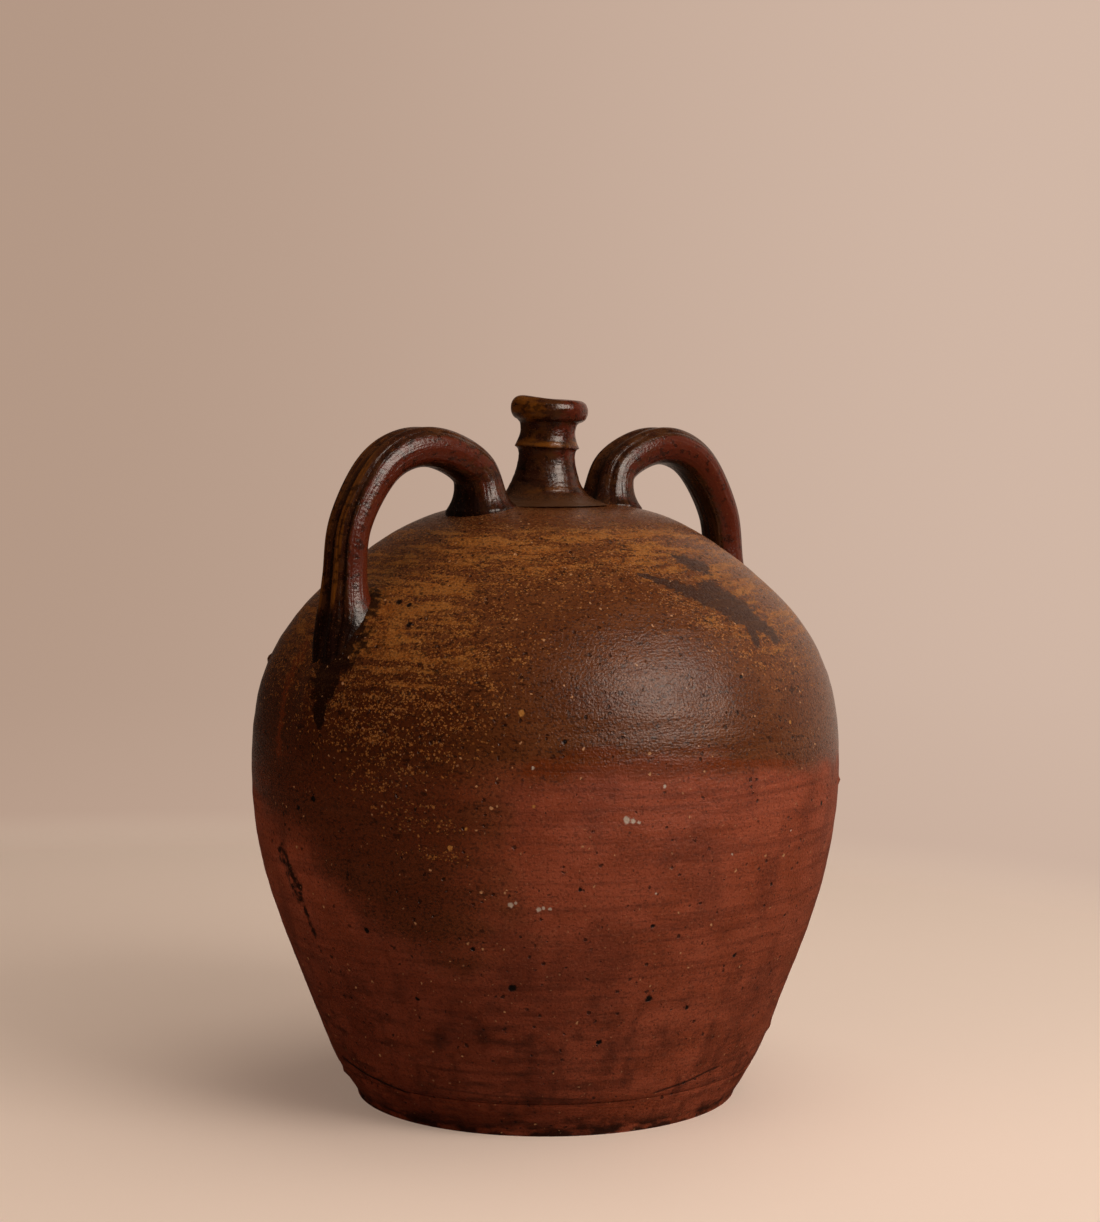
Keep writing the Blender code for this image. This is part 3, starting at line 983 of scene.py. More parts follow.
def swept_handle(name, heading):
    """Strap along its arch, turned to a heading, and where each vertex lies on it in mm."""
    line, section = strap_line(), strap_section()
    sides = [(following - corner).length for corner, following in zip(section, section[1:])]
    around = np.cumsum([0, *sides]) / MM
    corners, along, rounds, across, proud_of = [], [], [], [], []
    travelled = 0
    turn = Matrix.Rotation(heading, 3, "Z")
    for index, knot in enumerate(line):
        centre = knot.xy
        ahead = line[min(index + 1, len(line) - 1)].xy
        behind = line[max(index - 1, 0)].xy
        travelled += (centre - behind).length
        tangent = (ahead - behind).normalized()
        outward = Vector((-tangent.y, tangent.x))
        by_neck = centre.x < neck_root_radius + reach / 2
        fillet = NECK_FILLET if by_neck else OUTER_FILLET
        fillet_reach = NECK_FILLET_REACH if by_neck else OUTER_FILLET_REACH
        for point, length in zip(section, around):
            sideways = point.x * knot.z
            proud = point.y * knot.z
            spot = centre + outward * proud
            flare = fillet * math.exp(-max(wall_gap(spot.x, spot.y), 0) / fillet_reach)
            size = math.hypot(sideways, proud)
            grown = 1 + flare / size
            spot = centre + outward * proud * grown
            corners.append(turn @ Vector((spot.x, sideways * grown, spot.y)))
            along.append(travelled / MM)
            rounds.append(length)
            across.append(sideways / MM)
            proud_of.append(proud / MM)
    count = len(section)
    faces = []
    for ring in range(len(line) - 1):
        for step in range(count):
            following = (step + 1) % count
            start, end = ring * count, (ring + 1) * count
            faces.append((start + step, start + following, end + following, end + step))
    faces.append(tuple(range(count)))
    faces.append(tuple(range(len(corners) - count, len(corners)))[::-1])
    mesh = bpy.data.meshes.new(name)
    mesh.from_pydata(corners, [], faces)
    face_outwards(mesh)
    lie = SimpleNamespace(
        along=np.array(along),
        around=np.array(rounds),
        across=np.array(across),
        proud=np.array(proud_of),
    )
    return mesh, lie


handle_meshes, handle_lies = {}, {}
for side, heading in SIDES.items():
    mesh, lie = swept_handle("jar_handle_" + side, heading)
    handle_meshes[side], handle_lies[side] = mesh, lie
    print("handle", side, "has", len(mesh.polygons), "faces")

# %% [markdown]
# ## Where the dark glaze runs thin or turns ochre
#
# On the straps the glaze drained along the pull of the hand: it is dark in the grooves, ochre on the
# ridges of the outer face and red on the side faces, and their undersides get painted shade. On the
# neck ash fell on the lip and the collar and left them ochre. Its side towards the window is painted
# redder, partly red glaze and partly painted light, and the other side darker, as painted shade.
# Both get the same three maps, so that one finish can serve them.

# %% Maps on the handles
def band(values, middle, half_width):
    """1 in the middle of a band, 0.5 at its edges and 0 at twice its half width."""
    return np.clip(1 - np.abs(values - middle) / (2 * half_width), 0, 1)


for side in SIDES:
    lie = handle_lies[side]
    # Towards the camera is positive on both straps
    facing = lie.across if side == "left" else -lie.across
    share = lie.along / lie.along.max()
    # Widths and depths are in mm, and shares of the strap's length run from the neck outwards
    outer_face = smoothstep(5, 8, lie.proud)
    off_middle = smoothstep(7, 12, np.abs(facing))
    side_face = off_middle * (1 - outer_face) * smoothstep(-11, -7, lie.proud)
    descent = smoothstep(0.38, 0.58, share) * (1 - smoothstep(0.80, 0.86, share))
    climb = 1 - smoothstep(0.30, 0.55, share)
    above_foot = 1 - smoothstep(0.80, 0.87, share)
    off_neck = 0.4 + 0.6 * smoothstep(0.08, 0.30, share)
    ridge = 0.75 * band(facing, 5.2, 2.6) * descent + 0.45 * band(facing, -6.5, 3.0)
    rim = 0.8 * band(facing, -11, 2.5) * climb
    grooves = 0.8 * band(facing, 0.4, 2.0) * descent + 0.7 * band(facing, 10.8, 1.8) * descent
    foot = smoothstep(0.80, 0.88, share) + 0.7 * (1 - smoothstep(0.03, 0.10, share))
    # Painted shade on the strap's underside, added to its dark map
    under = 0.5 * smoothstep(-8, -11, lie.proud)
    paint(handle_meshes[side], {
        "along": lie.along,
        "around": lie.around,
        "bare": np.zeros(len(lie.along)),
        "ochre": outer_face * (ridge + rim),
        "red": side_face * above_foot * off_neck,
        "dark": outer_face * grooves + 0.8 * foot + under,
    })
print("a strap is", round(float(lie.along.max())), "mm long")

# %% Maps on the neck
# Heights above the shoulder's top in mm, and degrees round the neck
lip = smoothstep(48, 51, neck_heights)
collar = band(neck_heights, 35.6, 1.9)
low_neck = band(neck_heights, 8, 4)
middle_neck = band(neck_heights, 20, 7)
under_collar = band(neck_heights, 30, 2.6)
upper_neck = band(neck_heights, 43.5, 3.6)
left = smoothstep(-175, -130, neck_skin.azimuth) * (1 - smoothstep(-20, 25, neck_skin.azimuth))
right = smoothstep(5, 45, neck_skin.azimuth) * (1 - smoothstep(130, 175, neck_skin.azimuth))
ash = 0.5 * left * (lip + upper_neck) + 0.9 * collar * (1 - 0.4 * right) + 0.25 * low_neck
# Painted light and shade: the neck is redder on its right, towards the window, partly red glaze and
# partly painted light, and darker on its left, away from it, as painted shade
paint(neck_mesh, {
    # Grey-brown at the neck's foot, as on the shoulder: partly dry glaze, partly a painted sheen
    "bare": 1 - smoothstep(-1, 8, neck_heights),
    "ochre": ash,
    "red": right * (0.3 + 0.6 * lip + 0.9 * under_collar + 0.8 * upper_neck),
    "dark": left * (0.55 * upper_neck + 0.5 * middle_neck),
})
print("ash covers", round(100 * float(ash.mean())), "% of the neck")

# %% [markdown]
# ## Add the pieces
#
# Each detailed piece takes the place of the CAD solid it was made from. The CAD solid stays in the
# frame for collisions, but it isn't shown.

# %% Pieces in place of the CAD solids
PIECES = {
    "jar_base": ("base", "raw_red_foot"),
    "jar_lower_wall": ("lower_wall", "brick_red_slip"),
    "jar_shoulder": ("shoulder", "ochre_iron_glaze"),
    "jar_neck": ("neck", "dark_neck_glaze"),
    "jar_handle_left": ("handle_left", "dark_handle_glaze"),
    "jar_handle_right": ("handle_right", "dark_handle_glaze"),
}
meshes = {mesh.name: mesh for mesh in (base_mesh, lower_mesh, upper_mesh, neck_mesh)}
for mesh in handle_meshes.values():
    meshes[mesh.name] = mesh
pieces = {}
for name, (node, slot) in PIECES.items():
    piece = add_piece(name, meshes[name])
    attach(piece, "root")
    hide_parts(node)
    pieces[name] = piece
print("pieces:", sorted(pieces))

# %% [markdown]
# ## Colours and nodes
#
# Every finish below is made of shader nodes. Adding one by hand takes a call for the node, one for
# each option and one for each link. One small function does all of that in a line: it fills the
# node's open inputs in their order, from numbers, hex colours or other nodes' outputs. Patterns that
# take several nodes, such as clouds or spots, then get a function each. They measure in mm.

# %% One function that adds a node
def linear(hex_code):
    """An sRGB hex colour as linear red, green, blue and alpha."""
    lit = []
    for start in (1, 3, 5):
        level = int(hex_code[start:start + 2], 16) / 255
        lit.append(((level + 0.055) / 1.055) ** 2.4 if level > 0.04045 else level / 12.92)
    return (*lit, 1)


def add_node(tree, kind, *feeds, output=None, **settings):
    """Add a shader node, set its options and feed its open inputs in order. None skips an input."""
    made = tree.nodes.new("ShaderNode" + kind)
    for option, value in settings.items():
        setattr(made, option, value)
    open_inputs = [socket for socket in made.inputs if socket.enabled]
    for socket, feed in zip(open_inputs, feeds):
        if isinstance(feed, bpy.types.NodeSocket):
            tree.links.new(feed, socket)
        elif isinstance(feed, str):
            socket.default_value = linear(feed)
        elif feed is not None:
            socket.default_value = feed
    open_outputs = [socket for socket in made.outputs if socket.enabled]
    return made.outputs[output] if output else open_outputs[0]


def new_material(name, **settings):
    """A material, its node tree and its Principled shader with plain values set on its sockets."""
    material = bpy.data.materials.new(name)
    material.use_nodes = True
    surface = material.node_tree.nodes["Principled BSDF"]
    for socket, value in settings.items():
        surface.inputs[socket.replace("_", " ")].default_value = value
    return material, material.node_tree, surface


# Options that many nodes share
SOFT = {"interpolation_type": "SMOOTHSTEP"}
PAINT = {"data_type": "RGBA"}
TIMES = {"operation": "MULTIPLY"}
TIMES_PLUS = {"operation": "MULTIPLY_ADD"}
LARGEST = {"operation": "MAXIMUM"}
LESS = {"operation": "SUBTRACT"}
print("a middle grey, #808080, is", round(linear("#808080")[0], 3), "in linear light")

# %% Patterns measured in millimetres
# Share of a spot's half width over which it has its full strength
SPOT_CORE = 0.55
MARK_CORE = 0.5


def cloud(tree, place, size, low, high, detail=2.0):
    """Noise whose clouds have a size in mm each way: 0 up to low, 1 from high on, soft between."""
    squeezed = add_node(tree, "VectorMath", place, size, operation="DIVIDE")
    shape = add_node(tree, "TexNoise", squeezed, 1.0, detail)
    return add_node(tree, "MapRange", shape, low, high, 0.0, 1.0, **SOFT)


def ragged(tree, drawn, grit, roughness, low, high):
    """A drawn map whose soft edge is roughened by grit and then hardened between low and high."""
    rough = add_node(tree, "Math", grit, roughness, drawn, **TIMES_PLUS)
    shift = roughness / 2
    return add_node(tree, "MapRange", rough, low + shift, high + shift, 0.0, 1.0, **SOFT)


def spots(tree, place, spacing, smallest, largest, share):
    """Round spots, at a share of the points of a loose grid. Spacing and half widths are in mm."""
    cell = add_node(tree, "TexVoronoi", place, 1 / spacing)
    dice = add_node(tree, "SeparateColor", cell.node.outputs["Color"])
    edge = add_node(tree, "MapRange", dice, 0.0, 1.0, smallest / spacing, largest / spacing)
    core = add_node(tree, "Math", edge, SPOT_CORE, **TIMES)
    disc = add_node(tree, "MapRange", cell, edge, core, 0.0, 1.0, **SOFT)
    chosen = add_node(tree, "Math", dice.node.outputs["Green"], share, operation="LESS_THAN")
    return add_node(tree, "Math", disc, chosen, **TIMES)


def placed(tree, place, table):
    """Round spots at chosen places, each given by azimuth, height in mm and half width in mm."""
    marks = 0.0
    for azimuth, height, half_width in table:
        turn = FRONT + math.radians(azimuth)
        radius = np.interp(height, outline_heights / MM, outline_radii / MM) - SKIN_INSET
        spot = (radius * math.cos(turn), radius * math.sin(turn), height)
        off = add_node(tree, "VectorMath", place, spot, operation="DISTANCE")
        core = half_width * MARK_CORE
        disc = add_node(tree, "MapRange", off, half_width, core, 0.0, 1.0, **SOFT)
        marks = add_node(tree, "Math", disc, marks, **LARGEST)
    return marks


# %% Coats, sums and maps
def layered(tree, colour, *coats):
    """Coats of colour over each other, each as (map of where it lies, strength, colour)."""
    for where, strength, coat in coats:
        amount = where if strength == 1 else add_node(tree, "Math", where, strength, **TIMES)
        colour = add_node(tree, "Mix", amount, colour, coat, **PAINT)
    return colour


def summed(tree, start, *shares):
    """A value and shares of maps added up, each as (map, share)."""
    total = start
    for where, share in shares:
        total = add_node(tree, "Math", where, share, total, **TIMES_PLUS)
    return total


def place_in_mm(tree):
    """Where a point of the piece lies, in mm."""
    place = add_node(tree, "TexCoord", output="Object")
    return add_node(tree, "VectorMath", place, 1 / MM, operation="SCALE")


def maps_of(tree, *names):
    """The maps that were painted on the mesh, by name."""
    found = {name: add_node(tree, "Attribute", attribute_name=name, output="Fac") for name in names}
    return SimpleNamespace(**found)


# %% [markdown]
# ## The body: iron glaze and brick-red slip
#
# The real skin is red earthenware with an iron slip, and over it an ash-and-iron glaze, fired in one
# kiln. Thick glaze breaks into ochre grains with dark gaps, thinner glaze stays brown, and the slip
# below is brick red, with burnt specks, lime blows and pits. To the eye the glaze is a satin skin:
# little but the window shows in it, and its grain breaks that highlight up. Bare slip is dull.
# The three could be three materials, but on the jar they run into each other. So one function
# paints them all, and each big piece gets its own material from it.

# %% Blemishes at their places
# Azimuth, height in mm and half width in mm of each
DARK_PITS = (
    (-36.4, 306.6, 2.6),
    (-33.1, 305.3, 2.2),
    (-30.5, 294.9, 2.4),
    (-6.6, 95, 3.2),
    (22, 86, 2.6),
    (-37, 123, 2.2),
    (20.5, 130.5, 1.6),
    (6.3, 153.4, 1.6),
    (32.1, 77.5, 2.0),
    (3.5, 235, 1.8),
    (31.1, 257.4, 1.7),
    (55.8, 124.1, 1.5),
    (41.8, 106.2, 1.8),
    (-14, 118, 1.5),
    (12, 61, 1.9),
    (-28, 84, 1.8),
    (48, 146, 1.6),
    (64, 187, 1.8),
    (-47, 196, 2.4),
    (-52, 189, 1.9),
    (41, 266, 1.6),
    (150, 240, 2.2),
    (-160, 190, 2.4),
    (-120, 130, 2.0),
    (105, 100, 2.2),
)
PALE_CHIPS = (
    (14.4, 191.8, 2.6),
    (15.6, 190.9, 2.0),
    (16.6, 190.2, 1.2),
    (-6.3, 144.7, 1.8),
    (-5.4, 146.2, 1.3),
    (-1.2, 142.1, 1.8),
    (-0.2, 143.0, 1.2),
    (0.9, 142.4, 1.2),
    (-2.1, 221, 1.2),
    (21.4, 209, 1.4),
    (20.4, 149.7, 0.9),
    (36, 168, 0.9),
    (52, 176, 0.9),
    (-140, 210, 1.8),
)
OCHRE_FLECKS = (
    (-4.3, 250.4, 2.2),
    (-14.0, 187, 1.1),
    (-17, 176, 1.8),
    (-2, 200, 1.2),
    (52, 238, 1.4),
)
print(len(DARK_PITS), "pits,", len(PALE_CHIPS), "chips and", len(OCHRE_FLECKS), "flecks")

# %% [markdown]
# Each coat is broken up by clouds and spots of its own size. Noise could be measured along the three
# axes, but near the top the wall lies almost flat, and bands would grow wide there. So its third
# direction is the tape along the wall. The real grains, gaps and orange peel are 0.3 to 1 mm wide,
# about a pixel at this distance, so they are drawn about twice as coarse as they are.

# %% Sizes of the body's patterns
# Clouds in mm: twice across the jar, then up the wall
STAIN = (34, 34, 22)
BAND = (36, 36, 5)
CLUMP = (11, 11, 6)
DARK_GRAIN = (1.8, 1.8, 1.5)
LIGHT_GRAIN = (2.2, 2.2, 1.8)
WHEEL_STREAK = (70, 70, 4)
FIRE_STAIN = (26, 26, 50)
OCHRE_BREAK = (20, 20, 9)
CRUST = (6, 6, 3)
EDGE_GRIT = (5, 5, 4)
DRIP = (9, 9, 80)
BURN = (18, 18, 6)
FOOT_DARKENING_CLOUD = (14, 14, 6)
WIPED = (7, 7, 1.2)
# Spots: spacing, smallest and largest half width in mm
COARSE_GRAINS = (1.9, 0.4, 1.3)
FINE_GRAINS = (1.25, 0.35, 0.95)
BURNT_SPECKS = (5.5, 0.5, 1.5)
FINE_SPECKS = (3.0, 0.3, 0.8)
DUST = (4.6, 0.35, 0.75)
LIME_BLOWS = (8.0, 0.5, 1.1)
# What makes round spots uneven: size of the noise, and how far it pushes, both in mm
GRAIN_WOBBLE, GRAIN_PUSH = 1.1, 2.2
SPECK_WOBBLE, SPECK_PUSH = 2.4, 2.6
# Tape lengths in mm over which the low part and the darker edge at the foot begin
LOW_PART = (170.0, 40.0)
FOOT_DARKENING_EDGE = (15.0, 2.0)
# A hairline's half width in mm, and how far off it is dark right through
LINE_EDGE, LINE_CORE = 1.2, 0.4
PEEL = 1.4
print("a coarse grain is up to", 2 * COARSE_GRAINS[-1], "mm wide")

# %% What the coats share
def body_patterns(tree):
    """Where a point lies, its maps, and the clouds that several coats share."""
    place = place_in_mm(tree)
    maps = maps_of(tree, *BODY_MAPS)
    parts = add_node(tree, "SeparateXYZ", place)
    unrolled = add_node(tree, "CombineXYZ", parts, parts.node.outputs["Y"], maps.run)
    return SimpleNamespace(
        place=place,
        unrolled=unrolled,
        maps=maps,
        stain=cloud(tree, unrolled, STAIN, 0.36, 0.64, detail=4),
        bands=cloud(tree, unrolled, BAND, 0.42, 0.60, detail=5),
        clump=cloud(tree, unrolled, CLUMP, 0.3, 0.7, detail=3),
        dark_grain=cloud(tree, unrolled, DARK_GRAIN, 0.50, 0.34, detail=3),
        light_grain=cloud(tree, unrolled, LIGHT_GRAIN, 0.54, 0.68, detail=3),
    )


# %% Thin brown glaze and red slip
def brown_glaze(tree, clay):
    """Thin glaze: brown, with light and dark grains, and darker on the left half, partly as painted
    shade.
    """
    return layered(
        tree,
        "#65371C",
        (clay.stain, 1, "#6D3F22"),
        (clay.bands, 0.3, "#431F0C"),
        (clay.light_grain, 0.4, "#804C26"),
        (clay.maps.umber, 0.7, "#3F1808"),
        (clay.dark_grain, 0.55, "#2B1107"),
    )


def red_slip(tree, clay):
    """Red slip: streaked by the wheel, with fire stains, and darker low on the left, partly a thin
    stain and partly painted shade.
    """
    return layered(
        tree,
        "#944529",
        (clay.stain, 1, "#A55136"),
        (cloud(tree, clay.unrolled, WHEEL_STREAK, 0.46, 0.70), 0.5, "#6A2D1A"),
        (cloud(tree, clay.unrolled, FIRE_STAIN, 0.50, 0.68), 0.5, "#70311E"),
        (clay.dark_grain, 0.45, "#4A1C0E"),
        (clay.light_grain, 0.3, "#AC6448"),
        (clay.maps.stained, 0.5, "#5A1D08"),
    )


def slip_cover(tree, clay):
    """Where unglazed slip shows: below its line, but not under the veil of brown glaze."""
    veil = ragged(tree, clay.maps.veil, clay.stain, 0.3, 0.0, 1.0)
    slip = ragged(tree, clay.maps.slip, clay.stain, 0.25, 0.0, 1.0)
    unveiled = summed(tree, 1.0, (veil, -0.88))
    return add_node(tree, "Math", slip, unveiled, **TIMES)


# %% Thick ochre glaze
def ochre_glaze(tree, clay):
    """The colour of ochre grains."""
    return layered(
        tree,
        "#9C5A22",
        (clay.clump, 1, "#A66B31"),
        (cloud(tree, clay.unrolled, OCHRE_BREAK, 0.46, 0.62), 0.6, "#763E14"),
        # Grey-brown beside the neck: partly dry glaze, partly a painted sheen
        (clay.maps.bare, 1, "#5F4228"),
    )


def ochre_grains(tree, clay):
    """The fine grains, and all grains, which join up where ochre lies thick."""
    thick = summed(tree, 0.08, (clay.bands, 0.85), (clay.clump, 0.5))
    cover = add_node(tree, "Math", clay.maps.ochre, thick, **TIMES)
    cover = summed(tree, cover, (clay.maps.pooled, 0.5))
    push = add_node(tree, "TexNoise", clay.unrolled, 1 / GRAIN_WOBBLE, 2.0, output="Color")
    uneven = add_node(tree, "VectorMath", push, (GRAIN_PUSH,) * 3, clay.unrolled, **TIMES_PLUS)
    coarse = spots(tree, uneven, *COARSE_GRAINS, cover)
    fine = spots(tree, uneven, *FINE_GRAINS, cover)
    joined = ragged(tree, cover, clay.light_grain, 0.5, 0.38, 0.95)
    joined = add_node(tree, "Math", joined, 0.92, **TIMES)
    scattered = add_node(tree, "Math", coarse, fine, **LARGEST)
    return fine, add_node(tree, "Math", scattered, joined, **LARGEST)


def dark_glaze(tree, clay, slip):
    """Dark gaps between the grains, and iron crusts, where the slip isn't bare."""
    glazed = add_node(tree, "Math", 1.0, slip, **LESS)
    gap_share = add_node(tree, "Math", clay.maps.ochre, 0.4, 0.35, use_clamp=True, **TIMES_PLUS)
    gap_share = add_node(tree, "Math", gap_share, glazed, **TIMES)
    gaps = add_node(tree, "Math", clay.dark_grain, gap_share, **TIMES)
    crust = cloud(tree, clay.unrolled, CRUST, 0.60, 0.70, detail=4)
    return gaps, add_node(tree, "Math", crust, glazed, **TIMES)


# %% Marks low on the wall, and blemishes
def low_coats(tree, clay):
    """Coats of the lowest part: drips, burns, and a darker edge where the jar stands."""
    low = add_node(tree, "MapRange", clay.maps.run, *LOW_PART, 0.0, 1.0, **SOFT)
    drips = cloud(tree, clay.unrolled, DRIP, 0.48, 0.70, detail=3)
    drips = add_node(tree, "Math", drips, low, **TIMES)
    burns = cloud(tree, clay.unrolled, BURN, 0.45, 0.70, detail=5)
    burns = add_node(tree, "Math", burns, low, **TIMES)
    # Burns are stronger where the low left is darkened, partly by painted shade
    burns_in_shade = summed(tree, 0.4, (clay.maps.stained, 0.6))
    burns = add_node(tree, "Math", burns, burns_in_shade, **TIMES)
    # The wall is darker towards the edge where the jar stands
    edge = add_node(tree, "MapRange", clay.maps.run, *FOOT_DARKENING_EDGE, 0.0, 1.0, **SOFT)
    darker_foot = cloud(tree, clay.unrolled, FOOT_DARKENING_CLOUD, 0.38, 0.58, detail=4)
    darker_foot = add_node(tree, "Math", darker_foot, edge, **TIMES)
    return (drips, 0.45, "#3C1206"), (burns, 0.6, "#2E0F05"), (darker_foot, 0.9, "#180904")


def hairline_cover(tree, maps):
    """Where the hairlines run."""
    off_line = add_node(tree, "Math", maps.hairline, operation="ABSOLUTE")
    line = add_node(tree, "MapRange", off_line, LINE_EDGE, LINE_CORE, 0.0, 1.0)
    return add_node(tree, "Math", line, maps.hairline_here, **TIMES)


def blemishes(tree, clay):
    """Coats of burnt specks, dust, lime blows, flecks, chips and pits, and which of them sink in."""
    noise_colour = add_node(tree, "TexNoise", clay.place, 1 / SPECK_WOBBLE, 2.0, output="Color")
    push = add_node(tree, "VectorMath", noise_colour, (0.5, 0.5, 0.5), **LESS)
    uneven = add_node(tree, "VectorMath", push, (SPECK_PUSH,) * 3, clay.place, **TIMES_PLUS)
    specks = spots(tree, uneven, *BURNT_SPECKS, 0.5)
    pits = placed(tree, uneven, DARK_PITS)
    coats = (
        (spots(tree, uneven, *FINE_SPECKS, 0.5), 0.65, "#2A0F08"),
        (spots(tree, uneven, *DUST, 0.6), 0.55, "#B98862"),
        (specks, 0.75, "#1C0B06"),
        (spots(tree, uneven, *LIME_BLOWS, 0.5), 0.9, "#C89468"),
        (placed(tree, uneven, OCHRE_FLECKS), 1, "#B47A3C"),
        (placed(tree, uneven, PALE_CHIPS), 1, "#C4B4A6"),
        (pits, 1, "#120806"),
    )
    return coats, add_node(tree, "Math", pits, specks, **LARGEST)


# %% Body finish
def body_finish(name, **settings):
    """The fired skin of the jar's body as a material."""
    material, tree, surface = new_material(name, **settings)
    clay = body_patterns(tree)
    slip = slip_cover(tree, clay)
    fine, grains = ochre_grains(tree, clay)
    gaps, crust = dark_glaze(tree, clay, slip)
    edge_grit = cloud(tree, clay.unrolled, EDGE_GRIT, 0.2, 0.8, detail=4)
    line = hairline_cover(tree, clay.maps)
    marks, sunk = blemishes(tree, clay)
    colour = layered(
        tree,
        brown_glaze(tree, clay),
        (slip, 1, red_slip(tree, clay)),
        (ragged(tree, clay.maps.amber, clay.bands, 0.5, 0.1, 0.8), 0.6, "#7A3410"),
        (grains, 0.82, ochre_glaze(tree, clay)),
        (fine, 0.4, "#B87C40"),
        (gaps, 1, "#2A1208"),
        (crust, 0.75, "#220F07"),
        (ragged(tree, clay.maps.splash, edge_grit, 0.5, 0.34, 0.58), 0.9, "#38241D"),
        (ragged(tree, clay.maps.smear, edge_grit, 0.5, 0.30, 0.64), 0.94, "#1C0B05"),
        *low_coats(tree, clay),
        (line, 1, "#1D0B06"),
        *marks,
    )
    tree.links.new(colour, surface.inputs["Base Color"])

    # Bare slip is dull, thin brown glaze shines, and grains of either kind are a little duller
    rough = add_node(tree, "MapRange", slip, 0.0, 1.0, 0.12, 0.5)
    rough = summed(tree, rough, (clay.dark_grain, 0.16), (grains, 0.16))
    tree.links.new(rough, surface.inputs["Roughness"])

    # Heights in mm: orange peel, grains and clumps, level marks of wiping, and what sinks in
    relief = summed(
        tree,
        0.0,
        (add_node(tree, "TexNoise", clay.place, 1 / PEEL, 5.0), 0.45),
        (grains, 0.06),
        (clay.clump, 0.12),
        (cloud(tree, clay.unrolled, WIPED, 0.3, 0.7, detail=3), 0.07),
        (sunk, -0.5),
        (line, -0.3),
    )
    bump = add_node(tree, "Bump", 1.0, MM, None, relief)
    tree.links.new(bump, surface.inputs["Normal"])
    print(name, "has", len(tree.nodes), "nodes")
    return material


# Bare fired clay mirrors least, slip and glaze a little more
BODY_FINISHES = {
    "jar_base": body_finish("raw_brick_red_earthenware", IOR=1.5, Specular_IOR_Level=0.3),
    "jar_lower_wall": body_finish("matt_brick_red_slip", IOR=1.5, Specular_IOR_Level=0.4),
    "jar_shoulder": body_finish("satin_ash_and_iron_glaze", IOR=1.5, Specular_IOR_Level=0.4),
}
for name, material in BODY_FINISHES.items():
    pieces[name].data.materials.append(material)

# %% [markdown]
# ## Neck and handles: a dark glaze that runs
#
# Neck and handles were probably dipped upside down, so the glaze lies thicker there. It is glossy,
# nearly black in the grooves, red where it is thin over an edge, and ochre where ash settled on it.
# On a strap the colours follow the pull of the hand. That could be painted along the world's axes,
# but a strap bends. So its noise runs in its own two measures: mm along the strap and mm round it.

# %% Glossy finish
# Clouds in mm. The fine ash is grit of under 1 mm on the real glaze, and is drawn coarser
MOTTLE = (6, 6, 4)
SETTLED_ASH = (9, 9, 9)
POOLED_IRON = (5, 5, 4)
FINE_ASH = (1.5, 1.5, 1.5)
WRINKLE = 1.8
NECK_STREAK = (16, 16, 5)
STRAP_STREAK = (2.6, 40, 1)


def glossy_finish(name, stretch, along_strap):
    """The thick dark glaze, with streaks stretched by so many mm in each direction."""
    material, tree, surface = new_material(name, IOR=1.55)
    place = place_in_mm(tree)
    maps = maps_of(tree, "ochre", "red", "dark", "bare")
    grainwise = place
    if along_strap:
        strap = maps_of(tree, "along", "around")
        grainwise = add_node(tree, "CombineXYZ", strap.around, strap.along, 0.0)
    streak = cloud(tree, grainwise, stretch, 0.2, 0.8, detail=4)
    mottle = cloud(tree, place, MOTTLE, 0.3, 0.7, detail=4)
    colour = layered(
        tree,
        "#30150A",
        (cloud(tree, grainwise, stretch, 0.44, 0.66, detail=3), 0.8, "#4C2811"),
        (cloud(tree, place, SETTLED_ASH, 0.44, 0.60, detail=4), 0.7, "#4A2A14"),
        # The red map holds thin glaze over the straps' edges, and on the neck's right partly painted
        # light
        (ragged(tree, maps.red, mottle, 0.6, 0.2, 0.9), 1, "#562010"),
        (ragged(tree, maps.ochre, streak, 0.8, 0.2, 0.8), 0.85, "#7C4812"),
        (cloud(tree, place, POOLED_IRON, 0.52, 0.66, detail=4), 0.7, "#1A0A05"),
        # The dark map also holds painted shade: under the straps and on the neck's left side
        (ragged(tree, maps.dark, streak, 0.7, 0.2, 0.8), 0.9, "#100503"),
        (cloud(tree, place, FINE_ASH, 0.62, 0.74), 0.5, "#7A4A2C"),
        # Grey-brown at the neck's foot: partly dry glaze, partly a painted sheen
        (maps.bare, 1, "#4A2F1C"),
    )
    tree.links.new(colour, surface.inputs["Base Color"])
    rough = add_node(tree, "MapRange", mottle, 0.0, 1.0, 0.05, 0.19)
    rough = summed(tree, rough, (maps.dark, 0.12), (maps.bare, 0.25))
    tree.links.new(rough, surface.inputs["Roughness"])
    wrinkle = add_node(tree, "TexNoise", place, 1 / WRINKLE, 4.0)
    relief = summed(tree, 0.0, (streak, 0.3), (wrinkle, 0.3))
    bump = add_node(tree, "Bump", 1.0, MM, None, relief)
    tree.links.new(bump, surface.inputs["Normal"])
    return material


neck_glaze = glossy_finish("glossy_iron_glaze_on_neck", NECK_STREAK, False)
strap_glaze = glossy_finish("glossy_iron_glaze_on_pulled_strap", STRAP_STREAK, True)
pieces["jar_neck"].data.materials.append(neck_glaze)
for side in SIDES:
    pieces["jar_handle_" + side].data.materials.append(strap_glaze)
print("glossy finishes:", neck_glaze.name, strap_glaze.name)

# %% [markdown]
# ## A round studio
#
# The jar stands on a seamless paper sweep. It runs all the way round like a shallow bowl of 3 m
# radius, so that the jar can be looked at from any side. A flat floor with a plain world would be
# simpler, but its horizon would cut through the jar's neck. Paper this pale would throw so much
# light back that the shaded side of the jar turned flat, which the photograph doesn't show. So most
# of its brightness is seen by the camera and by reflections only, and a darker paper under that
# takes the lamps' light and the jar's shadow.

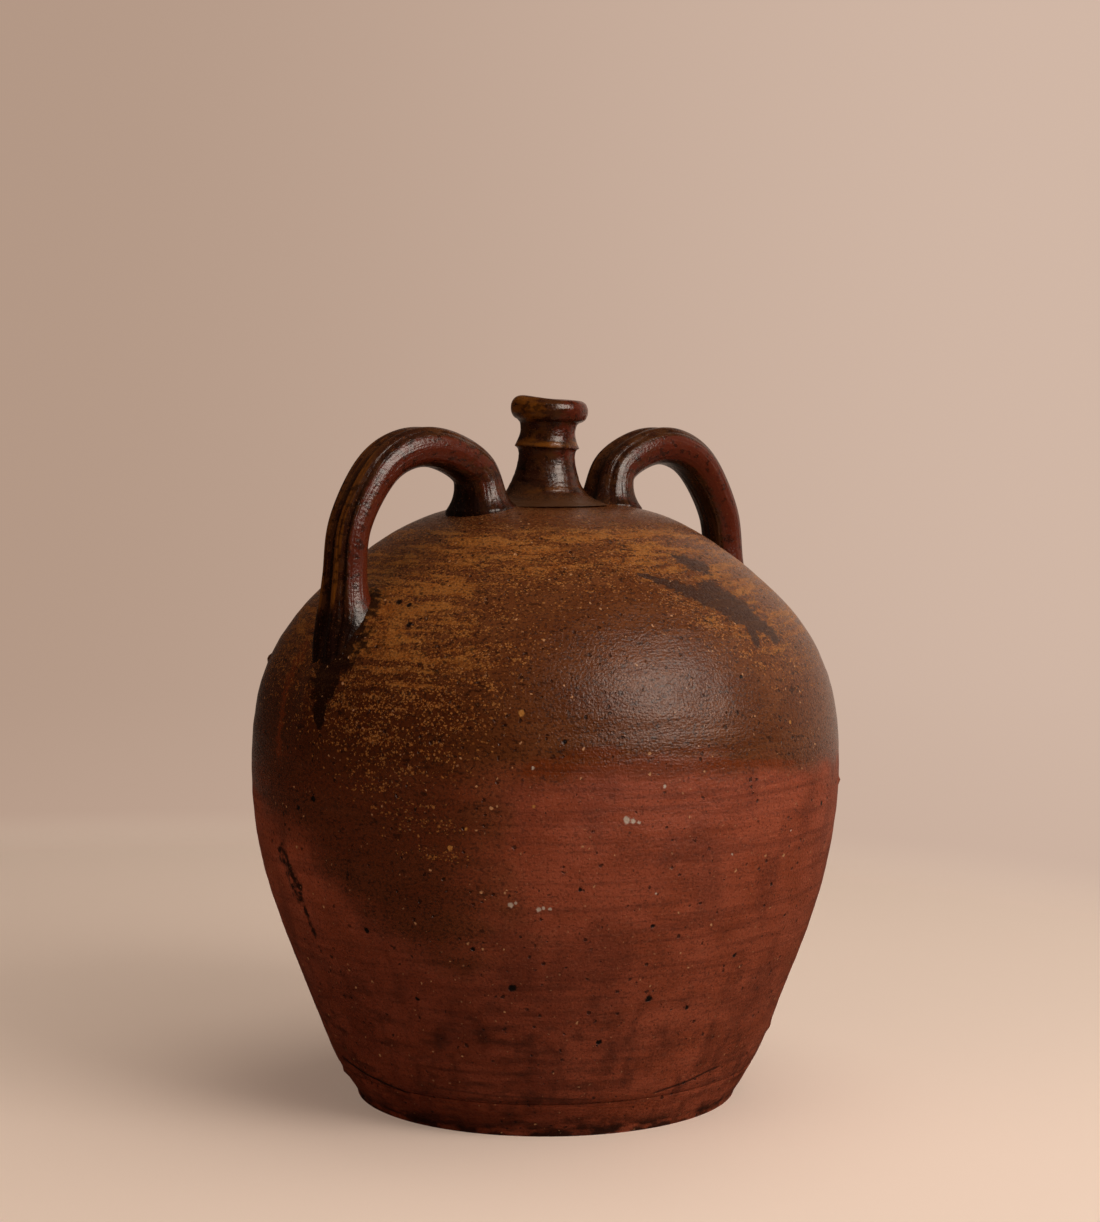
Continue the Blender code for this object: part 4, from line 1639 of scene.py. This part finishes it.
# %% Sweep
# Lengths in m
SWEEP_RADIUS = 3.2
SWEEP_CORNER = 0.9
SWEEP_HEIGHT = 2.6
SWEEP_COLUMNS = 96
SWEEP_CORNER_STEPS = 17
FLOOR_RADIUS = 1.0
FLOOR_ASIDE = 0.3
FLOOR_BLEND = 0.16
PAPER_SPAN = 1.1

# Brightness of the floor's own glow where it catches the shadow, against 1 for the rest
FLOOR_GLOW = 0.25
# Share of the paper that the glaze mirrors, from behind the jar to the camera and from the left
# to the right, and where each change takes place, in m
MIRRORED_BEHIND, MIRRORED_BEFORE = 0.7, 0.06
MIRRORED_LEFT, MIRRORED_RIGHT = 0.05, 1.0
BEHIND, BEFORE = -1.6, 0.2
FAR_LEFT, RIGHT = -1.4, 0.6

corner_foot = Vector((SWEEP_RADIUS - SWEEP_CORNER, 0))
corner = [
    corner_foot + SWEEP_CORNER * Vector((math.sin(turn), 1 - math.cos(turn)))
    for turn in np.linspace(0, math.pi / 2, SWEEP_CORNER_STEPS)
]
floor = [Vector((0, 0)), Vector((FLOOR_RADIUS, 0))]
sweep_profile = [*floor, *corner, Vector((SWEEP_RADIUS, SWEEP_HEIGHT))]
sweep_mesh = turned("sweep", sweep_profile, closed=False, columns=SWEEP_COLUMNS)
sweep_mesh.shade_smooth()
sweep = bpy.data.objects.new("sweep", sweep_mesh)
bpy.context.scene.collection.objects.link(sweep)
print("sweep:", len(sweep_mesh.polygons), "faces")

# %% Paper of the sweep
paper, tree, surface = new_material("matt_paper_sweep", Roughness=0.9, Specular_IOR_Level=0.0)
spot = add_node(tree, "NewGeometry", output="Position")
flat = add_node(tree, "VectorMath", spot, (1, 1, 0), **TIMES)
middle = tuple(-FLOOR_ASIDE * to_right)
away = add_node(tree, "VectorMath", flat, middle, operation="DISTANCE")
rim_start, rim_end = FLOOR_RADIUS - FLOOR_BLEND, FLOOR_RADIUS + FLOOR_BLEND
wall = add_node(tree, "MapRange", away, rim_start, rim_end, 0.0, 1.0, **SOFT)
sideways = add_node(tree, "VectorMath", spot, tuple(to_right), operation="DOT_PRODUCT")
# Painted light: the paper's glow is lighter towards the right, where the window stands
paper_lit_to_right = add_node(tree, "MapRange", sideways, -PAPER_SPAN, PAPER_SPAN, 0.0, 1.0, **SOFT)
wall_tone = layered(tree, "#B29785", (paper_lit_to_right, 1, "#D1B7A6"))
floor_tone = layered(tree, "#CDB39F", (paper_lit_to_right, 1, "#DFC5B3"))
seen_tone = layered(tree, floor_tone, (wall, 1, wall_tone))

path = add_node(tree, "LightPath")
is_glossy = path.node.outputs["Is Glossy Ray"]
nearness = add_node(tree, "VectorMath", spot, tuple(to_camera), operation="DOT_PRODUCT")
depth_share = (BEHIND, BEFORE, MIRRORED_BEHIND, MIRRORED_BEFORE)
behind = add_node(tree, "MapRange", nearness, *depth_share, **SOFT)
side_share = (FAR_LEFT, RIGHT, MIRRORED_LEFT, MIRRORED_RIGHT)
beside_jar = add_node(tree, "MapRange", sideways, *side_share, **SOFT)
mirrored = add_node(tree, "Math", behind, beside_jar, **TIMES)
mirrored = add_node(tree, "Math", is_glossy, mirrored, **TIMES)
seen = add_node(tree, "Math", path, path.node.outputs["Is Transmission Ray"], **LARGEST)
seen = add_node(tree, "Math", seen, mirrored, **LARGEST)
glow = add_node(tree, "MapRange", wall, 0.0, 1.0, FLOOR_GLOW, 1.0)
glow = add_node(tree, "Math", seen, glow, **TIMES)
lit_tone = layered(
    tree,
    "#F2E2D6",
    (path.node.outputs["Is Diffuse Ray"], 1, "#B4A294"),
    (is_glossy, 1, "#4A3E36"),
    (wall, 1, "#2A231E"),
)
tree.links.new(seen_tone, surface.inputs["Emission Color"])
tree.links.new(glow, surface.inputs["Emission Strength"])
tree.links.new(lit_tone, surface.inputs["Base Color"])
sweep_mesh.materials.append(paper)
print("the paper has", len(tree.nodes), "nodes")

# %% [markdown]
# ## One window and a dim room
#
# The photograph's light comes from a big window on the right, and a dim room fills in the left. One
# soft lamp could stand for the window, but the highlight has a small bright heart in a wide, dim
# patch, and one even lamp gives one even patch. So the window is made of three. A wide lamp and a
# smaller pane before it are mirrored. Another wide lamp only lights, so that the wide patch stays
# dim. The lamps of the room aren't mirrored either, because the photograph shows none of them.

# %% Lamps
BELLY_HEIGHT = 0.2
ROOM_LIGHT = 0.07


def add_softbox(name, heading, elevation, distance, size, radiance, colour, mirrored=True):
    """A square lamp of even radiance, placed round the jar in degrees and aimed at its belly."""
    turn, lift = FRONT + math.radians(heading), math.radians(elevation)
    away = Vector((math.cos(turn) * math.cos(lift), math.sin(turn) * math.cos(lift), math.sin(lift)))
    lamp = bpy.data.lights.new(name, "AREA")
    lamp.shape = "RECTANGLE"
    lamp.size, lamp.size_y = size
    lamp.energy = radiance * math.pi * size[0] * size[1]
    lamp.color = linear(colour)[:3]
    box = bpy.data.objects.new(name, lamp)
    box.location = up * BELLY_HEIGHT + away * distance
    box.rotation_euler = (-away).to_track_quat("-Z", "Y").to_euler()
    box.visible_camera = False
    box.visible_glossy = mirrored
    bpy.context.scene.collection.objects.link(box)
    light = lamp.energy / (math.pi * distance) ** 2
    print(name, "gives the jar", round(light, 2), "of a plain level")


add_softbox("window", 50, 33, 2.0, (1.9, 1.8), 0.9, "#FFF2E6")
add_softbox("window_light", 50, 33, 2.0, (1.9, 1.8), 1.5, "#FFF6EC", mirrored=False)
add_softbox("window_pane", 50, 32, 1.95, (0.95, 1.0), 5.2, "#FFF0E2")
add_softbox("bounce", -60, 12, 2.3, (1.8, 1.4), 1.35, "#FFE2CC", mirrored=False)
add_softbox("ceiling", 120, 75, 2.4, (2.0, 2.0), 1.3, "#FFF1E2", mirrored=False)
add_softbox("side_wall", 100, 12, 2.3, (1.4, 1.4), 0.7, "#FFF1E2", mirrored=False)

world = bpy.data.worlds.new("studio")
world.use_nodes = True
room = world.node_tree.nodes["Background"].inputs
room["Color"].default_value = linear("#FFCBA4")
room["Strength"].default_value = ROOM_LIGHT
bpy.context.scene.world = world

# %% [markdown]
# ## Finish
#
# Colours are shown through the Standard view transform. The detailed jar must not outgrow the
# CAD jar.

# %% Finish
bpy.context.scene.view_settings.view_transform = "Standard"
